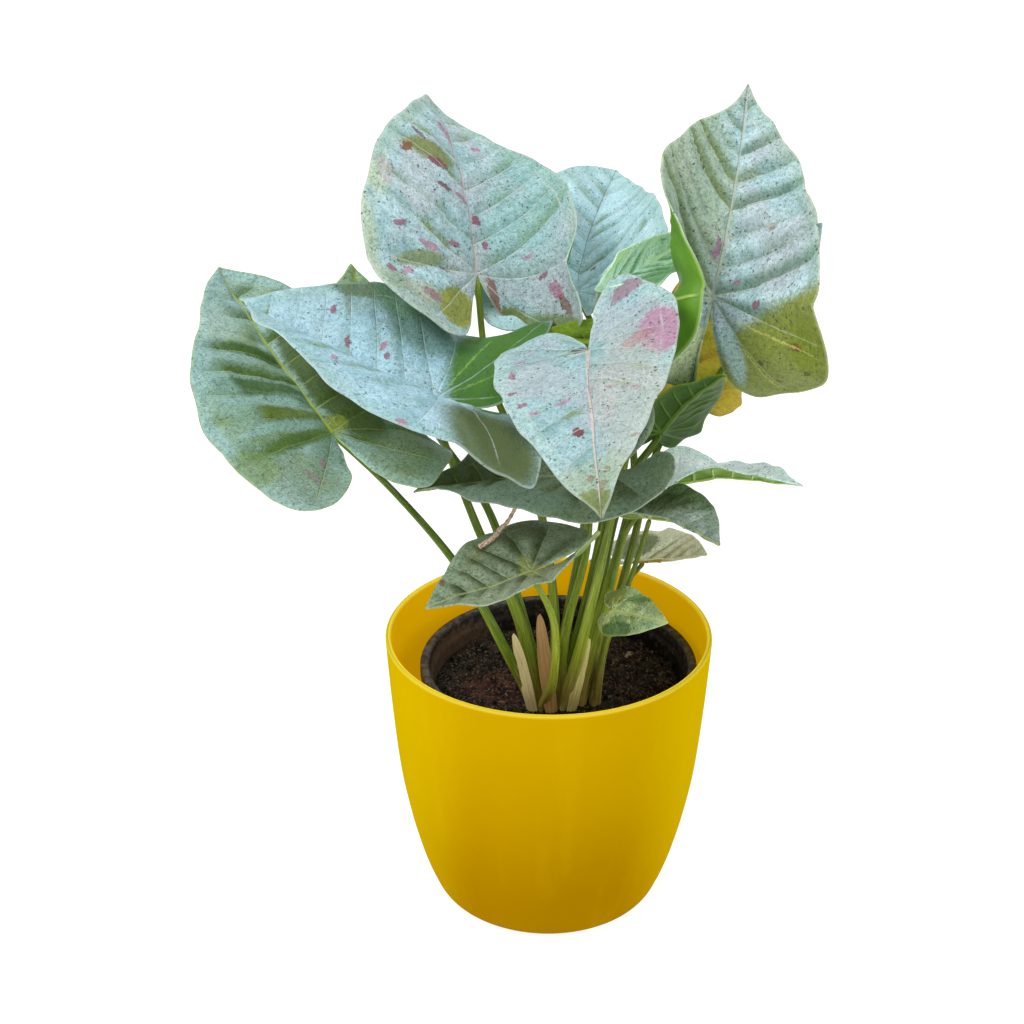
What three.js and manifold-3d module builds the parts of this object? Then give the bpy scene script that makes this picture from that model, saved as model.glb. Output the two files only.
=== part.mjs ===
// A potted arrowhead plant: a clump of Syngonium with silvery, arrow-shaped leaves on long stalks.
// It grows in the soil of a black nursery pot, which stands inside a round yellow planter.
// Millimetres, +Z up. The origin is the centre of the planter's flat base, and -Y is the front.

import * as THREE from "three";
import { mergeVertices } from "three/addons/utils/BufferGeometryUtils.js";
import Module from "manifold-3d";

const wasm = await Module();
wasm.setup();

// ---------------------------------------------------------------- driving dimensions

const GAP = 0.3; // air left between two pieces that touch

const PLANTER = { height: 117, rimRadius: 65, baseRadius: 41.5, wall: 2.2, floor: 3, sides: 40 };
// The planter's outside from the edge of its base to just under its rim: radius, height.
const PLANTER_OUTLINE = [
  [PLANTER.baseRadius, 0],
  [46, 2.6],
  [48.6, 8],
  [51, 14.5],
  [53.6, 23.4],
  [56.9, 37.4],
  [60.5, 58.5],
  [63.2, 88],
  [PLANTER.rimRadius, PLANTER.height - PLANTER.wall / 2],
];

const NURSERY = {
  centre: 4, // stands this far to the right in the planter
  height: 100,
  baseRadius: 38,
  neckRadius: 52.6, // the wall just under the lip
  lipRadius: 55.5,
  lipHeight: 5,
  wall: 1.5,
  sides: 32,
};
const NURSERY_FOOT = PLANTER.floor + GAP;

const SOIL = { level: 92, lump: 1.1, rings: 6 };
const SOIL_MOUND = { at: [-21, -4], height: 4, spread: 10 };

const BLADE = 0.8; // a leaf blade's thickness
const STALK = { sides: 6, steps: 8, foot: 2.9, top: 1.2, depth: 12 };

// The leaves. Each blade is drawn flat, from the notch where its stalk joins, and then bent.
//   at               the joint of blade and stalk
//   azimuth, rise    the way the tip points: round from +X, and up from level
//   roll             turn about the midrib
//   length           joint to tip
//   half, lobe       half-width and lobe length, and for each pair [left, right]
//   spread, full     how far out the lobe's end lies, and how full the margin is towards the tip
//   notch            how much narrower the notch is than the spread makes it
//   arch, heel, sway bend of the tip down, of the lobes down, and of the tip to one side
//   fold, curl       angle of a half at the midrib, and its further bend out to the margin
//   cup, lift        more curl towards the joint, and more fold out along the lobe
//   wave             rise and fall of the margin: height and number of waves
// Lengths are in millimetres and angles in degrees.
const LEAVES = [
  {
    name: "leaf_top", at: [-28, 21, 258], azimuth: 96, rise: 58, roll: -31, length: 87,
    half: [52, 48], lobe: [29, 25], spread: [0.6, 1.0], full: [2.1, 2.0],
    arch: 43, heel: -2, sway: 6, fold: [16, -11], curl: [-28, 58], cup: [1, 77], lift: [29, -14],
    wave: [1.5, 5],
  },
  {
    name: "leaf_right", at: [60, 10, 253], azimuth: 61, rise: 63, roll: -7, length: 86,
    half: [43, 52], lobe: [38, 46], spread: [0.1, 0.6], full: [2.1, 1.2],
    arch: 32, heel: 44, sway: -14, fold: [27, 14], curl: [16, 9], cup: [129, 31], lift: [-7, -66],
    wave: [1.5, 6],
  },
  {
    name: "leaf_behind", at: [11, 48, 242], azimuth: 82, rise: 26, roll: 1, length: 76,
    half: [45, 47], lobe: [36, 31], spread: [0.7, 0.7], full: [2.2, 1.7],
    arch: 4, heel: -6, sway: 14, fold: [30, 28], curl: [-8, 27], cup: [0, 0], lift: [0, 30],
    wave: [1, 5],
  },
  {
    name: "leaf_half_open", at: [22, 12, 255], azimuth: 47, rise: 14, roll: -43, length: 50,
    half: [19, 25], lobe: [13, 13], spread: [0.7, 0.7], full: [1.7, 1.8],
    arch: -4, heel: -4, sway: 7, fold: [59, 54], curl: [23, 11], cup: [0, 0], lift: [14, 26],
    wave: [0, 0],
  },
  {
    name: "leaf_front", at: [12, -37, 249], azimuth: -92, rise: -5, roll: -20, length: 82,
    half: [34, 34], lobe: [38, 26], spread: [0.5, 0.7], full: [1.7, 1.9],
    arch: 32, heel: -5, sway: 4, fold: [12, 9], curl: [-20, 1], cup: [0, 0], lift: [19, -14],
    wave: [0.8, 5],
  },
  {
    name: "leaf_left", at: [-42, -36, 231], azimuth: 175, rise: 24, roll: 5, length: 79,
    half: [47, 53], lobe: [45, 38], spread: [1.3, 1.2], full: [2.3, 1.9], notch: 0.22,
    arch: 10, heel: -28, sway: 30, fold: [38, 31], curl: [-53, -10], cup: [0, -47], lift: [4, 15],
    wave: [1, 6],
  },
  {
    name: "leaf_far_left", at: [-81, -16, 209], azimuth: 127, rise: 24, roll: -4, length: 94,
    half: [50, 49], lobe: [42, 42], spread: [0.8, 0.4], full: [1.9, 2.3],
    arch: -6, heel: -3, sway: 0, fold: [24, 20], curl: [-33, -28], cup: [-10, -40], lift: [7, 14],
    wave: [1.2, 6],
  },
  {
    name: "leaf_shaded", at: [14, -24, 196], azimuth: 172, rise: -5, roll: -9, length: 69,
    half: [40, 36], lobe: [37, 39], spread: [0.9, 0.8], full: [1.3, 1.7],
    arch: 12, heel: -46, sway: 8, fold: [10, 38], curl: [-42, -3], cup: [-1, 0], lift: [5, 22],
    wave: [1, 5],
  },
  {
    name: "leaf_low", at: [-8, -46, 167], azimuth: -161, rise: -11, roll: 0, length: 41,
    half: [33, 31], lobe: [24, 29], spread: [0.7, 0.6], full: [1.8, 1.9],
    arch: 1, heel: 6, sway: 2, fold: [13, 14], curl: [16, -9], cup: [0, 0], lift: [31, -9],
    wave: [0.8, 5],
  },
  {
    name: "leaf_dark", at: [43, 10, 198], azimuth: -37, rise: 60, roll: 25, length: 44,
    half: [20, 19], lobe: [10, 10], spread: [0.7, 0.7], full: [1.8, 1.8],
    arch: 29, heel: 11, sway: -1, fold: [12, 16], curl: [-16, -32], cup: [0, 0], lift: [12, 0],
    wave: [0, 0],
  },
  {
    name: "leaf_yellow", at: [55, 30, 210], azimuth: 70, rise: 52, roll: -31, length: 60,
    half: [27, 22], lobe: [9, 9], spread: [0.7, 0.7], full: [2.2, 1.9],
    arch: 29, heel: 12, sway: 15, fold: [23, 14], curl: [26, -25], cup: [0, 0], lift: [0, 0],
    wave: [0, 0],
  },
  {
    name: "leaf_side", at: [49, 2, 180], azimuth: -42, rise: 26, roll: 3, length: 56,
    half: [28, 20], lobe: [15, 14], spread: [0.7, 0.7], full: [1.9, 1.9],
    arch: 20, heel: 2, sway: -3, fold: [13, 51], curl: [-29, -52], cup: [1, -45], lift: [38, 0],
    wave: [0.6, 5],
  },
  {
    name: "leaf_side_low", at: [37, -22, 177], azimuth: -40, rise: 16, roll: 4, length: 33,
    half: [22, 12], lobe: [18, 10], spread: [0.6, 0.7], full: [1.8, 1.7],
    arch: 34, heel: 3, sway: 2, fold: [21, 23], curl: [-7, 6], cup: [0, 0], lift: [-8, 0],
    wave: [0.5, 5],
  },
  {
    name: "leaf_pale", at: [40, 34, 130], azimuth: -28, rise: 19, roll: 0, length: 30,
    half: [24, 21], lobe: [22, 17], spread: [0.7, 0.7], full: [1.8, 1.7],
    arch: -2, heel: 8, sway: 4, fold: [16, 15], curl: [-11, 20], cup: [0, 0], lift: [8, 12],
    wave: [0.5, 5],
  },
  {
    name: "leaf_young", at: [24, -26, 140], azimuth: -46, rise: 13, roll: -42, length: 26,
    half: [11, 10], lobe: [9, 8], spread: [0.7, 0.6], full: [2.0, 2.0],
    arch: 15, heel: 19, sway: -2, fold: [5, 0], curl: [-29, -31], cup: [0, 0], lift: [-3, -14],
    wave: [0.4, 5],
  },
  {
    name: "leaf_inner", at: [20, 4, 237], azimuth: 178, rise: 4, roll: 70, length: 29,
    half: [16, 9], lobe: [10, 10], spread: [0.7, 0.7], full: [1.8, 1.8],
    arch: 8, heel: 6, sway: 0, fold: [10, 10], curl: [-10, -10], cup: [0, 0], lift: [0, 0],
    wave: [0, 0],
  },
  {
    name: "leaf_back_left", at: [-62, 6, 235], azimuth: 111, rise: 25, roll: -25, length: 46,
    half: [25, 20], lobe: [18, 18], spread: [0.7, 0.7], full: [1.7, 1.5],
    arch: 2, heel: 12, sway: -2, fold: [6, 4], curl: [-23, -19], cup: [0, 0], lift: [0, 0],
    wave: [0, 0],
  },
  {
    name: "leaf_back_right", at: [85, 38, 242], azimuth: 46, rise: 43, roll: -12, length: 46,
    half: [24, 14], lobe: [16, 16], spread: [0.7, 0.7], full: [2.0, 1.5],
    arch: 33, heel: 12, sway: -5, fold: [26, 18], curl: [-11, -5], cup: [0, 0], lift: [0, 0],
    wave: [0, 0],
  },
];

// The shoots. Each is a short stem in the soil with the stalks of its leaves growing out of it.
//   stem    its middle, its radius, and how far it stands out of the soil
//   stalks  leaf name, then the stalk's foot at soil level and its way up to the blade
const SHOOTS = [
  {
    name: "shoot_left",
    stem: { at: [-4, -17], radius: 3.6, rise: 8 },
    stalks: {
      leaf_far_left: [[-6.5, -16, 92], [-17, -25, 122], [-35, -21, 156], [-59, -10, 182]],
      leaf_left: [[-5, -18.5, 92], [-11, -9, 124], [-28, 6, 159], [-42, 8, 200]],
      leaf_low: [[-2.5, -19, 92], [1, -31, 112], [1, -39, 142]],
      leaf_back_left: [[-3.5, -14.5, 92], [-12, -3, 130], [-24, 9, 166], [-45, 14, 198]],
    },
  },
  {
    name: "shoot_middle",
    stem: { at: [4.5, -16.5], radius: 3.8, rise: 9 },
    stalks: {
      leaf_top: [[2, -17, 92], [2, -5, 131], [-6, 7, 177], [-23, 14, 219]],
      leaf_front: [[6, -19, 92], [12, -28, 127], [21, -26, 172], [27, -28, 218]],
      leaf_shaded: [[3.5, -19, 92], [6, -18, 125], [14, -16, 162]],
      leaf_behind: [[6.5, -14, 92], [15, -6, 127], [24, 8, 170], [25, 27, 212]],
      leaf_half_open: [[5, -13.5, 92], [14, -4, 127], [22, 7, 170], [25, 13, 212]],
      leaf_dark: [[7, -15.5, 92], [13, -8, 119], [19, 0, 147], [27, 9, 173]],
      leaf_inner: [[2.2, -13.5, 92], [8, -3, 127], [15, 8, 170], [18, 12, 205]],
    },
  },
  {
    name: "shoot_right",
    stem: { at: [11.8, -13.6], radius: 2.8, rise: 7 },
    stalks: {
      leaf_right: [[11, -15.5, 92], [19, -13, 127], [33, 14.5, 174], [32, 13, 216]],
      leaf_yellow: [[11, -12, 92], [24, -5, 122], [33, 7, 152], [41, 19, 183]],
      leaf_back_right: [[13, -12, 92], [20, 4, 132], [32, 18, 176], [60, 24, 208]],
      leaf_side: [[13.4, -14, 92], [19, -11, 117], [24, -7, 140], [31, 1, 163]],
    },
  },
  {
    name: "shoot_small",
    stem: { at: [18.2, -14], radius: 2.2, rise: 5 },
    foot: 1.7,
    top: 0.9,
    stalks: {
      leaf_side_low: [[19, -15, 92], [22, -20, 122], [32, -13, 150]],
      leaf_pale: [[18, -12.5, 92], [22, 0, 110], [28, 17, 123]],
      leaf_young: [[17.4, -15.4, 92], [20, -15, 109], [22, -18, 126]],
    },
  },
];

// Papery sheaths, left by old leaves round the feet of the stalks.
//   foot, top    the middle of its lower and upper edge
//   radius, wrap how round it is, and how much of a turn it covers, in degrees
//   facing       the way its back faces, round from +X, in degrees
const SHEATH_THICKNESS = 0.7;
const SHEATHS = [
  {
    name: "sheath_cream", foot: [-7, -22.5, 93], top: [-14, -27, 130],
    radius: 3.8, wrap: 100, facing: -110,
  },
  {
    name: "sheath_brown", foot: [1, -24, 93], top: [-4, -28, 139],
    radius: 3.6, wrap: 90, facing: -80,
  },
  {
    name: "sheath_pale", foot: [9, -22.5, 93], top: [15, -25.5, 127],
    radius: 3.6, wrap: 90, facing: -70,
  },
];

// A dried-up stalk that lies over the low leaf.
const DRY_STALK = {
  radius: 0.75,
  path: [[-27, -31, 169.6], [-22.5, -28.5, 171.2], [-19, -22, 172.6], [-15.5, -17, 174.4], [-12, -14, 181]],
};

const COLOUR = {
  planter: "#e3bd0a",
  nursery: "#2b2b2c",
  soil: "#33251e",
  blade: "#a3bfb2",
  shadedBlade: "#7f9a7c",
  yellowBlade: "#a39b2a",
  stalk: "#7f9f46",
  cream: "#d9cfa4",
  brown: "#b09468",
  dry: "#c09a84",
};

// ---------------------------------------------------------------- solids

const radians = THREE.MathUtils.degToRad;

// A geometry with its shared vertices merged and its empty triangles left out.
function welded(geometry) {
  geometry.deleteAttribute("normal");
  geometry.deleteAttribute("uv");
  const merged = mergeVertices(geometry, 1e-4);
  const corners = Array.from(merged.index.array);
  const kept = [];
  for (let i = 0; i < corners.length; i += 3) {
    const [a, b, c] = corners.slice(i, i + 3);
    if (a !== b && b !== c && c !== a) kept.push(a, b, c);
  }
  merged.setIndex(kept);
  return merged;
}

function solid(geometry) {
  const body = welded(geometry);
  return new wasm.Manifold(
    new wasm.Mesh({
      numProp: 3,
      vertProperties: Float32Array.from(body.attributes.position.array),
      triVerts: Uint32Array.from(body.index.array),
    }),
  );
}

// The largest body of a solid: what a cut leaves over beside it is dropped.
function largest(body) {
  return body.decompose().reduce((a, b) => (b.volume() > a.volume() ? b : a));
}

function piece(name, body, colour, roughness) {
  const mesh = body.getMesh();
  const geometry = new THREE.BufferGeometry();
  geometry.setAttribute("position", new THREE.BufferAttribute(Float32Array.from(mesh.vertProperties), 3));
  geometry.setIndex(Array.from(mesh.triVerts));
  geometry.computeVertexNormals();
  const result = new THREE.Mesh(
    geometry,
    new THREE.MeshStandardMaterial({ color: colour, roughness, metalness: 0 }),
  );
  result.name = name;
  return result;
}

// A body turned about Z, from its profile of [radius, height] points.
function turned(profile, sides) {
  const geometry = new THREE.LatheGeometry(profile.map(([r, z]) => new THREE.Vector2(r, z)), sides);
  return geometry.rotateX(Math.PI / 2);
}

// A sheet thickened to both sides along its normals, with its border moved out by margin.
// Both faces have the same triangles.
function thickened(sheet, thickness, margin = 0) {
  const middle = welded(sheet);
  middle.computeVertexNormals();
  const vectors = ({ count, array }) =>
    Array.from({ length: count }, (_, i) => new THREE.Vector3().fromArray(array, 3 * i));
  const places = vectors(middle.attributes.position);
  const normals = vectors(middle.attributes.normal);
  const count = places.length;
  const index = middle.index.array;
  const faces = [];
  const edges = new Set();
  for (let i = 0; i < index.length; i += 3) {
    const [a, b, c] = index.slice(i, i + 3);
    faces.push(a, b, c, a + count, c + count, b + count);
    for (const [from, to] of [[a, b], [b, c], [c, a]]) edges.add(`${from}_${to}`);
  }
  const outward = places.map(() => new THREE.Vector3());
  for (const edge of edges) {
    const [from, to] = edge.split("_").map(Number);
    if (edges.has(`${to}_${from}`)) continue;
    faces.push(from, from + count, to + count, from, to + count, to);
    for (const end of [from, to]) {
      outward[end].add(places[to].clone().sub(places[from]).cross(normals[end]).normalize());
    }
  }
  const points = [thickness / 2, -thickness / 2].flatMap((offset) =>
    places.flatMap((place, i) =>
      place
        .clone()
        .addScaledVector(normals[i], offset)
        .addScaledVector(outward[i].normalize(), margin)
        .toArray(),
    ),
  );
  const geometry = new THREE.BufferGeometry();
  geometry.setAttribute("position", new THREE.Float32BufferAttribute(points, 3));
  geometry.setIndex(faces);
  return solid(geometry);
}

// A round stalk along a smooth curve, which thins most near its foot.
function stalk(path, footRadius, topRadius, steps = STALK.steps) {
  const curve = new THREE.CatmullRomCurve3(path.map((p) => new THREE.Vector3(...p)), false, "centripetal");
  const frames = curve.computeFrenetFrames(steps);
  const geometry = new THREE.CylinderGeometry(1, 1, 1, STALK.sides, steps);
  const { position } = geometry.attributes;
  for (let i = 0; i < position.count; i++) {
    const step = Math.round((position.getY(i) + 0.5) * steps);
    const point = curve.getPointAt(step / steps);
    const radius = topRadius + (footRadius - topRadius) * (1 - step / steps) ** 2;
    point.addScaledVector(frames.normals[step], position.getX(i) * radius);
    point.addScaledVector(frames.binormals[step], -position.getZ(i) * radius);
    position.setXYZ(i, point.x, point.y, point.z);
  }
  return solid(geometry);
}

// ---------------------------------------------------------------- leaf blades

// One half of the flat blade's margin, from the notch round the lobe and up to the tip.
function halfMargin(leaf, side, lobeSteps, tipSteps) {
  const spread = leaf.spread[side];
  const notch = leaf.notch ?? 0;
  const lobe = new THREE.SplineCurve(
    [
      [0, 0],
      [0.1 * spread - 0.5 * notch, -0.3],
      [0.34 * spread - notch, -0.72],
      [0.68 * spread, -0.97],
      [spread, -0.97],
      [0.52 * (spread + 1), -0.68],
      [0.99, -0.32],
      [1, 0],
    ].map(([x, y]) => new THREE.Vector2(x * leaf.half[side], y * leaf.lobe[side])),
  ).getPoints(lobeSteps);
  const points = lobe.slice(1).map(({ x, y }) => [x, y]);
  for (let i = 1; i <= tipSteps; i++) {
    const t = i / tipSteps;
    points.push([leaf.half[side] * (1 - t ** leaf.full[side]) ** 1.05, leaf.length * t]);
  }
  return side === 0 ? points.map(([x, y]) => [-x, y]) : points;
}

// How far an arc runs and rises over its length, from its first angle and its bend per millimetre.
function arc(length, angle, bend) {
  if (Math.abs(bend) < 1e-6) return [length * Math.cos(angle), length * Math.sin(angle)];
  return [
    (Math.sin(angle + bend * length) - Math.sin(angle)) / bend,
    (Math.cos(angle) - Math.cos(angle + bend * length)) / bend,
  ];
}

// A leaf's own directions: along the midrib, to the right of it, and out of the upper face.
function leafFrame(leaf) {
  const azimuth = radians(leaf.azimuth);
  const rise = radians(leaf.rise);
  const along = new THREE.Vector3(
    Math.cos(rise) * Math.cos(azimuth),
    Math.cos(rise) * Math.sin(azimuth),
    Math.sin(rise),
  );
  const up = new THREE.Vector3(
    -Math.sin(rise) * Math.cos(azimuth),
    -Math.sin(rise) * Math.sin(azimuth),
    Math.cos(rise),
  );
  const across = along.clone().cross(up);
  const roll = radians(leaf.roll);
  return {
    along,
    across: across.clone().multiplyScalar(Math.cos(roll)).addScaledVector(up, Math.sin(roll)),
    up: up.clone().multiplyScalar(Math.cos(roll)).addScaledVector(across, -Math.sin(roll)),
  };
}

// The place in space of a point (x, y) of the flat blade.
function bladePoint(leaf, frame, x, y, wave) {
  const side = x < 0 ? 0 : 1;
  const { along, across, up } = frame;
  const reach = y >= 0 ? leaf.length : leaf.lobe[side];
  const bend = radians(y >= 0 ? leaf.arch : leaf.heel);
  const out = Math.abs(y) / reach;
  const [run, drop] = arc(Math.abs(y), 0, bend / reach);
  const sway = (radians(leaf.sway) * Math.max(y, 0)) / leaf.length;
  const tilt = bend * out * Math.sign(y);
  const ahead = along.clone().multiplyScalar(Math.cos(tilt)).addScaledVector(up, -Math.sin(tilt));
  const above = up.clone().multiplyScalar(Math.cos(tilt)).addScaledVector(along, Math.sin(tilt));
  const aside = across.clone().multiplyScalar(Math.cos(sway)).addScaledVector(ahead, -Math.sin(sway));
  const fold = radians(leaf.fold[side] + leaf.lift[side] * Math.max(0, -y / reach));
  const nearJoint = (1 - Math.min(Math.max(y / leaf.length, 0), 1)) ** 2;
  const curl = radians(leaf.curl[side] + leaf.cup[side] * nearJoint) / leaf.half[side];
  const [width, height] = arc(Math.abs(x), fold, curl);
  return new THREE.Vector3(...leaf.at)
    .addScaledVector(along, Math.sign(y) * run)
    .addScaledVector(up, -drop)
    .addScaledVector(across, Math.max(y, 0) * Math.sin(sway / 2))
    .addScaledVector(aside, Math.sign(x) * width)
    .addScaledVector(above, height + wave);
}

// The middle sheet of a blade, in rings that grow from the joint out to the margin.
function bladeSheet(leaf) {
  const large = leaf.length > 50;
  const [lobeSteps, tipSteps, rings] = large ? [7, 7, 4] : [6, 5, 3];
  const left = halfMargin(leaf, 0, lobeSteps, tipSteps);
  const right = halfMargin(leaf, 1, lobeSteps, tipSteps).slice(0, -1).reverse();
  const margin = [...left, ...right];
  const frame = leafFrame(leaf);
  const [waveHeight, waveCount] = leaf.wave;
  const points = [...leaf.at];
  for (let ring = 1; ring <= rings; ring++) {
    const part = ring / rings;
    margin.forEach(([x, y], i) => {
      const phase = (2 * Math.PI * waveCount * i) / (margin.length - 1);
      const wave = waveHeight * part ** 3 * Math.sin(phase);
      points.push(...bladePoint(leaf, frame, x * part, y * part, wave));
    });
  }
  const faces = [];
  for (let i = 0; i + 1 < margin.length; i++) {
    faces.push(0, i + 2, i + 1);
    for (let ring = 0; ring + 1 < rings; ring++) {
      const inner = 1 + ring * margin.length + i;
      const outer = inner + margin.length;
      faces.push(inner, inner + 1, outer + 1, inner, outer + 1, outer);
    }
  }
  const sheet = new THREE.BufferGeometry();
  sheet.setAttribute("position", new THREE.Float32BufferAttribute(points, 3));
  sheet.setIndex(faces);
  return sheet;
}

function blade(leaf, grow = 0) {
  return thickened(bladeSheet(leaf), BLADE + 2 * grow, grow);
}

// ---------------------------------------------------------------- planter, nursery pot, soil

function planter() {
  const outside = new THREE.SplineCurve(PLANTER_OUTLINE.map((p) => new THREE.Vector2(...p)))
    .getPoints(12)
    .map(({ x, y }) => [x, y]);
  const lipRadius = PLANTER.wall / 2;
  const lip = [0.25, 0.5, 0.75].map((turn) => [
    PLANTER.rimRadius - lipRadius + lipRadius * Math.cos(turn * Math.PI),
    PLANTER.height - lipRadius + lipRadius * Math.sin(turn * Math.PI),
  ]);
  const inside = outside
    .filter(([, z]) => z > PLANTER.floor + 1)
    .map(([r, z]) => [r - PLANTER.wall, z])
    .reverse();
  const floorEdge = PLANTER.baseRadius + 1;
  return solid(
    turned(
      [[0, 0], ...outside, ...lip, ...inside, [floorEdge, PLANTER.floor], [0, PLANTER.floor]],
      PLANTER.sides,
    ),
  );
}

// The nursery pot's inner radius at a height above its foot.
function nurseryInside(height) {
  const slope = (NURSERY.neckRadius - NURSERY.baseRadius) / (NURSERY.height - NURSERY.lipHeight);
  return NURSERY.baseRadius + slope * height - NURSERY.wall;
}

function nurseryPot() {
  const { height, baseRadius, neckRadius, lipRadius, lipHeight, wall } = NURSERY;
  const edge = 1.2;
  const profile = [
    [0, 0],
    [baseRadius - edge, 0],
    [baseRadius, edge],
    [neckRadius, height - lipHeight],
    [lipRadius - edge / 2, height - lipHeight],
    [lipRadius, height - lipHeight + edge / 2],
    [lipRadius, height - edge / 2],
    [lipRadius - edge / 2, height],
    [neckRadius, height],
    [nurseryInside(height - edge), height - edge],
    [nurseryInside(wall), wall],
    [0, wall],
  ];
  return solid(turned(profile, NURSERY.sides).translate(NURSERY.centre, 0, NURSERY_FOOT));
}

// Height of the soil over its level, at a point of the pot.
function soilRelief(x, y) {
  const { at, height, spread } = SOIL_MOUND;
  const mound = height * Math.exp(-((x - at[0]) ** 2 + (y - at[1]) ** 2) / spread ** 2);
  const lumps = Math.sin(x * 0.31 + 1) * Math.cos(y * 0.27) + 0.6 * Math.sin(x * 0.17 - y * 0.42);
  return mound + SOIL.lump * lumps;
}

function soil() {
  const bottom = NURSERY.wall + GAP;
  const top = SOIL.level - NURSERY_FOOT;
  const radius = nurseryInside(top) - GAP;
  const profile = [
    [0, bottom],
    [nurseryInside(bottom) - GAP, bottom],
  ];
  for (let ring = SOIL.rings; ring >= 0; ring--) profile.push([(radius * ring) / SOIL.rings, top]);
  const geometry = turned(profile, NURSERY.sides).translate(NURSERY.centre, 0, NURSERY_FOOT);
  const { position } = geometry.attributes;
  for (let i = 0; i < position.count; i++) {
    const [x, y] = [position.getX(i), position.getY(i)];
    const inward = 1 - Math.hypot(x - NURSERY.centre, y) / radius;
    const relief = soilRelief(x, y) * Math.min(1, inward * 6);
    const slope = Math.max(0, 0.1 - inward) * 12;
    if (position.getZ(i) > SOIL.level - 1) position.setZ(i, SOIL.level + relief - slope);
  }
  return solid(geometry);
}

// ---------------------------------------------------------------- shoots, sheaths, dry stalk

// A shoot's stem and stalks as one body, drawn larger all round by grow.
function shoot({ stem, stalks, foot = STALK.foot, top = STALK.top }, grow = 0) {
  const depth = SOIL.level - STALK.depth - grow;
  const [x, y] = stem.at;
  let body = stalk(
    [[x, y, depth - 4], [x, y, SOIL.level], [x, y, SOIL.level + stem.rise]],
    stem.radius + grow,
    stem.radius * 0.6 + grow,
    2,
  );
  for (const [leafName, path] of Object.entries(stalks)) {
    const joint = LEAVES.find((leaf) => leaf.name === leafName).at;
    const [footX, footY] = path[0];
    const rooted = [[(footX + x) / 2, (footY + y) / 2, depth], ...path, joint];
    body = body.add(stalk(rooted, foot + grow, top + grow));
  }
  return body;
}

function sheath({ foot, top, radius, wrap, facing }) {
  const turn = radians(wrap);
  const start = radians(90 - facing) - turn / 2;
  const sheet = new THREE.CylinderGeometry(radius, radius, 1, 4, 5, true, start, turn);
  sheet.rotateX(Math.PI / 2);
  const { position } = sheet.attributes;
  const middle = { x: radius * Math.cos(radians(facing)), y: radius * Math.sin(radians(facing)) };
  for (let i = 0; i < position.count; i++) {
    const up = position.getZ(i) + 0.5;
    const narrow = 1 - 0.85 * up ** 2;
    position.setXYZ(
      i,
      THREE.MathUtils.lerp(foot[0], top[0], up) + (position.getX(i) - middle.x) * narrow,
      THREE.MathUtils.lerp(foot[1], top[1], up) + (position.getY(i) - middle.y) * narrow,
      THREE.MathUtils.lerp(foot[2], top[2], up),
    );
  }
  return thickened(sheet, SHEATH_THICKNESS);
}

// ---------------------------------------------------------------- assembly

const plant = new THREE.Group();
plant.add(piece("planter", planter(), COLOUR.planter, 0.35));
plant.add(piece("nursery_pot", nurseryPot(), COLOUR.nursery, 0.55));

const shoots = SHOOTS.map((entry) => ({ ...entry, body: shoot(entry), hole: shoot(entry, GAP) }));

let ground = soil();
for (const { hole } of shoots) ground = ground.subtract(hole);
plant.add(piece("soil", largest(ground), COLOUR.soil, 0.95));

// Blades go in one after another, each cut clear of the blades that are already there.
const blades = [];
for (const leaf of LEAVES) {
  let body = blade(leaf);
  for (const other of blades) body = body.subtract(other.clear);
  blades.push({ leaf, body: largest(body), clear: blade(leaf, GAP) });
}

// Stalks stop short of the blades, and keep clear of each other.
const grown = [];
for (const { name, body, hole } of shoots) {
  let cut = body;
  for (const { clear } of blades) cut = cut.subtract(clear);
  for (const other of grown) cut = cut.subtract(other.hole);
  grown.push({ name, body: largest(cut), hole });
}
for (const { name, body } of grown) plant.add(piece(name, body, COLOUR.stalk, 0.5));

const bladeColour = {
  leaf_yellow: COLOUR.yellowBlade,
  leaf_dark: COLOUR.shadedBlade,
  leaf_shaded: COLOUR.shadedBlade,
};
for (const { leaf, body } of blades) {
  plant.add(piece(leaf.name, body, bladeColour[leaf.name] ?? COLOUR.blade, 0.45));
}

// Loose dry things give way to the living plant and to the soil.
function clearOfPlant(body) {
  let cut = body.subtract(soil().translate(0, 0, GAP));
  for (const { hole } of grown) cut = cut.subtract(hole);
  for (const { clear } of blades) cut = cut.subtract(clear);
  return largest(cut);
}
for (const entry of SHEATHS) {
  const colour = entry.name === "sheath_brown" ? COLOUR.brown : COLOUR.cream;
  plant.add(piece(entry.name, clearOfPlant(sheath(entry)), colour, 0.8));
}
const dryStalk = stalk(DRY_STALK.path, DRY_STALK.radius, DRY_STALK.radius * 0.7);
plant.add(piece("dry_stalk", clearOfPlant(dryStalk), COLOUR.dry, 0.85));

export default plant;
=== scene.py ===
# A potted arrowhead plant: silvery arrow-shaped leaves on long stalks, in a black nursery pot
# that stands in a round yellow planter. Lengths in the tables are millimetres.
import math
from random import Random

import bmesh
import bpy
from mathutils import Matrix, Vector, noise


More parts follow.
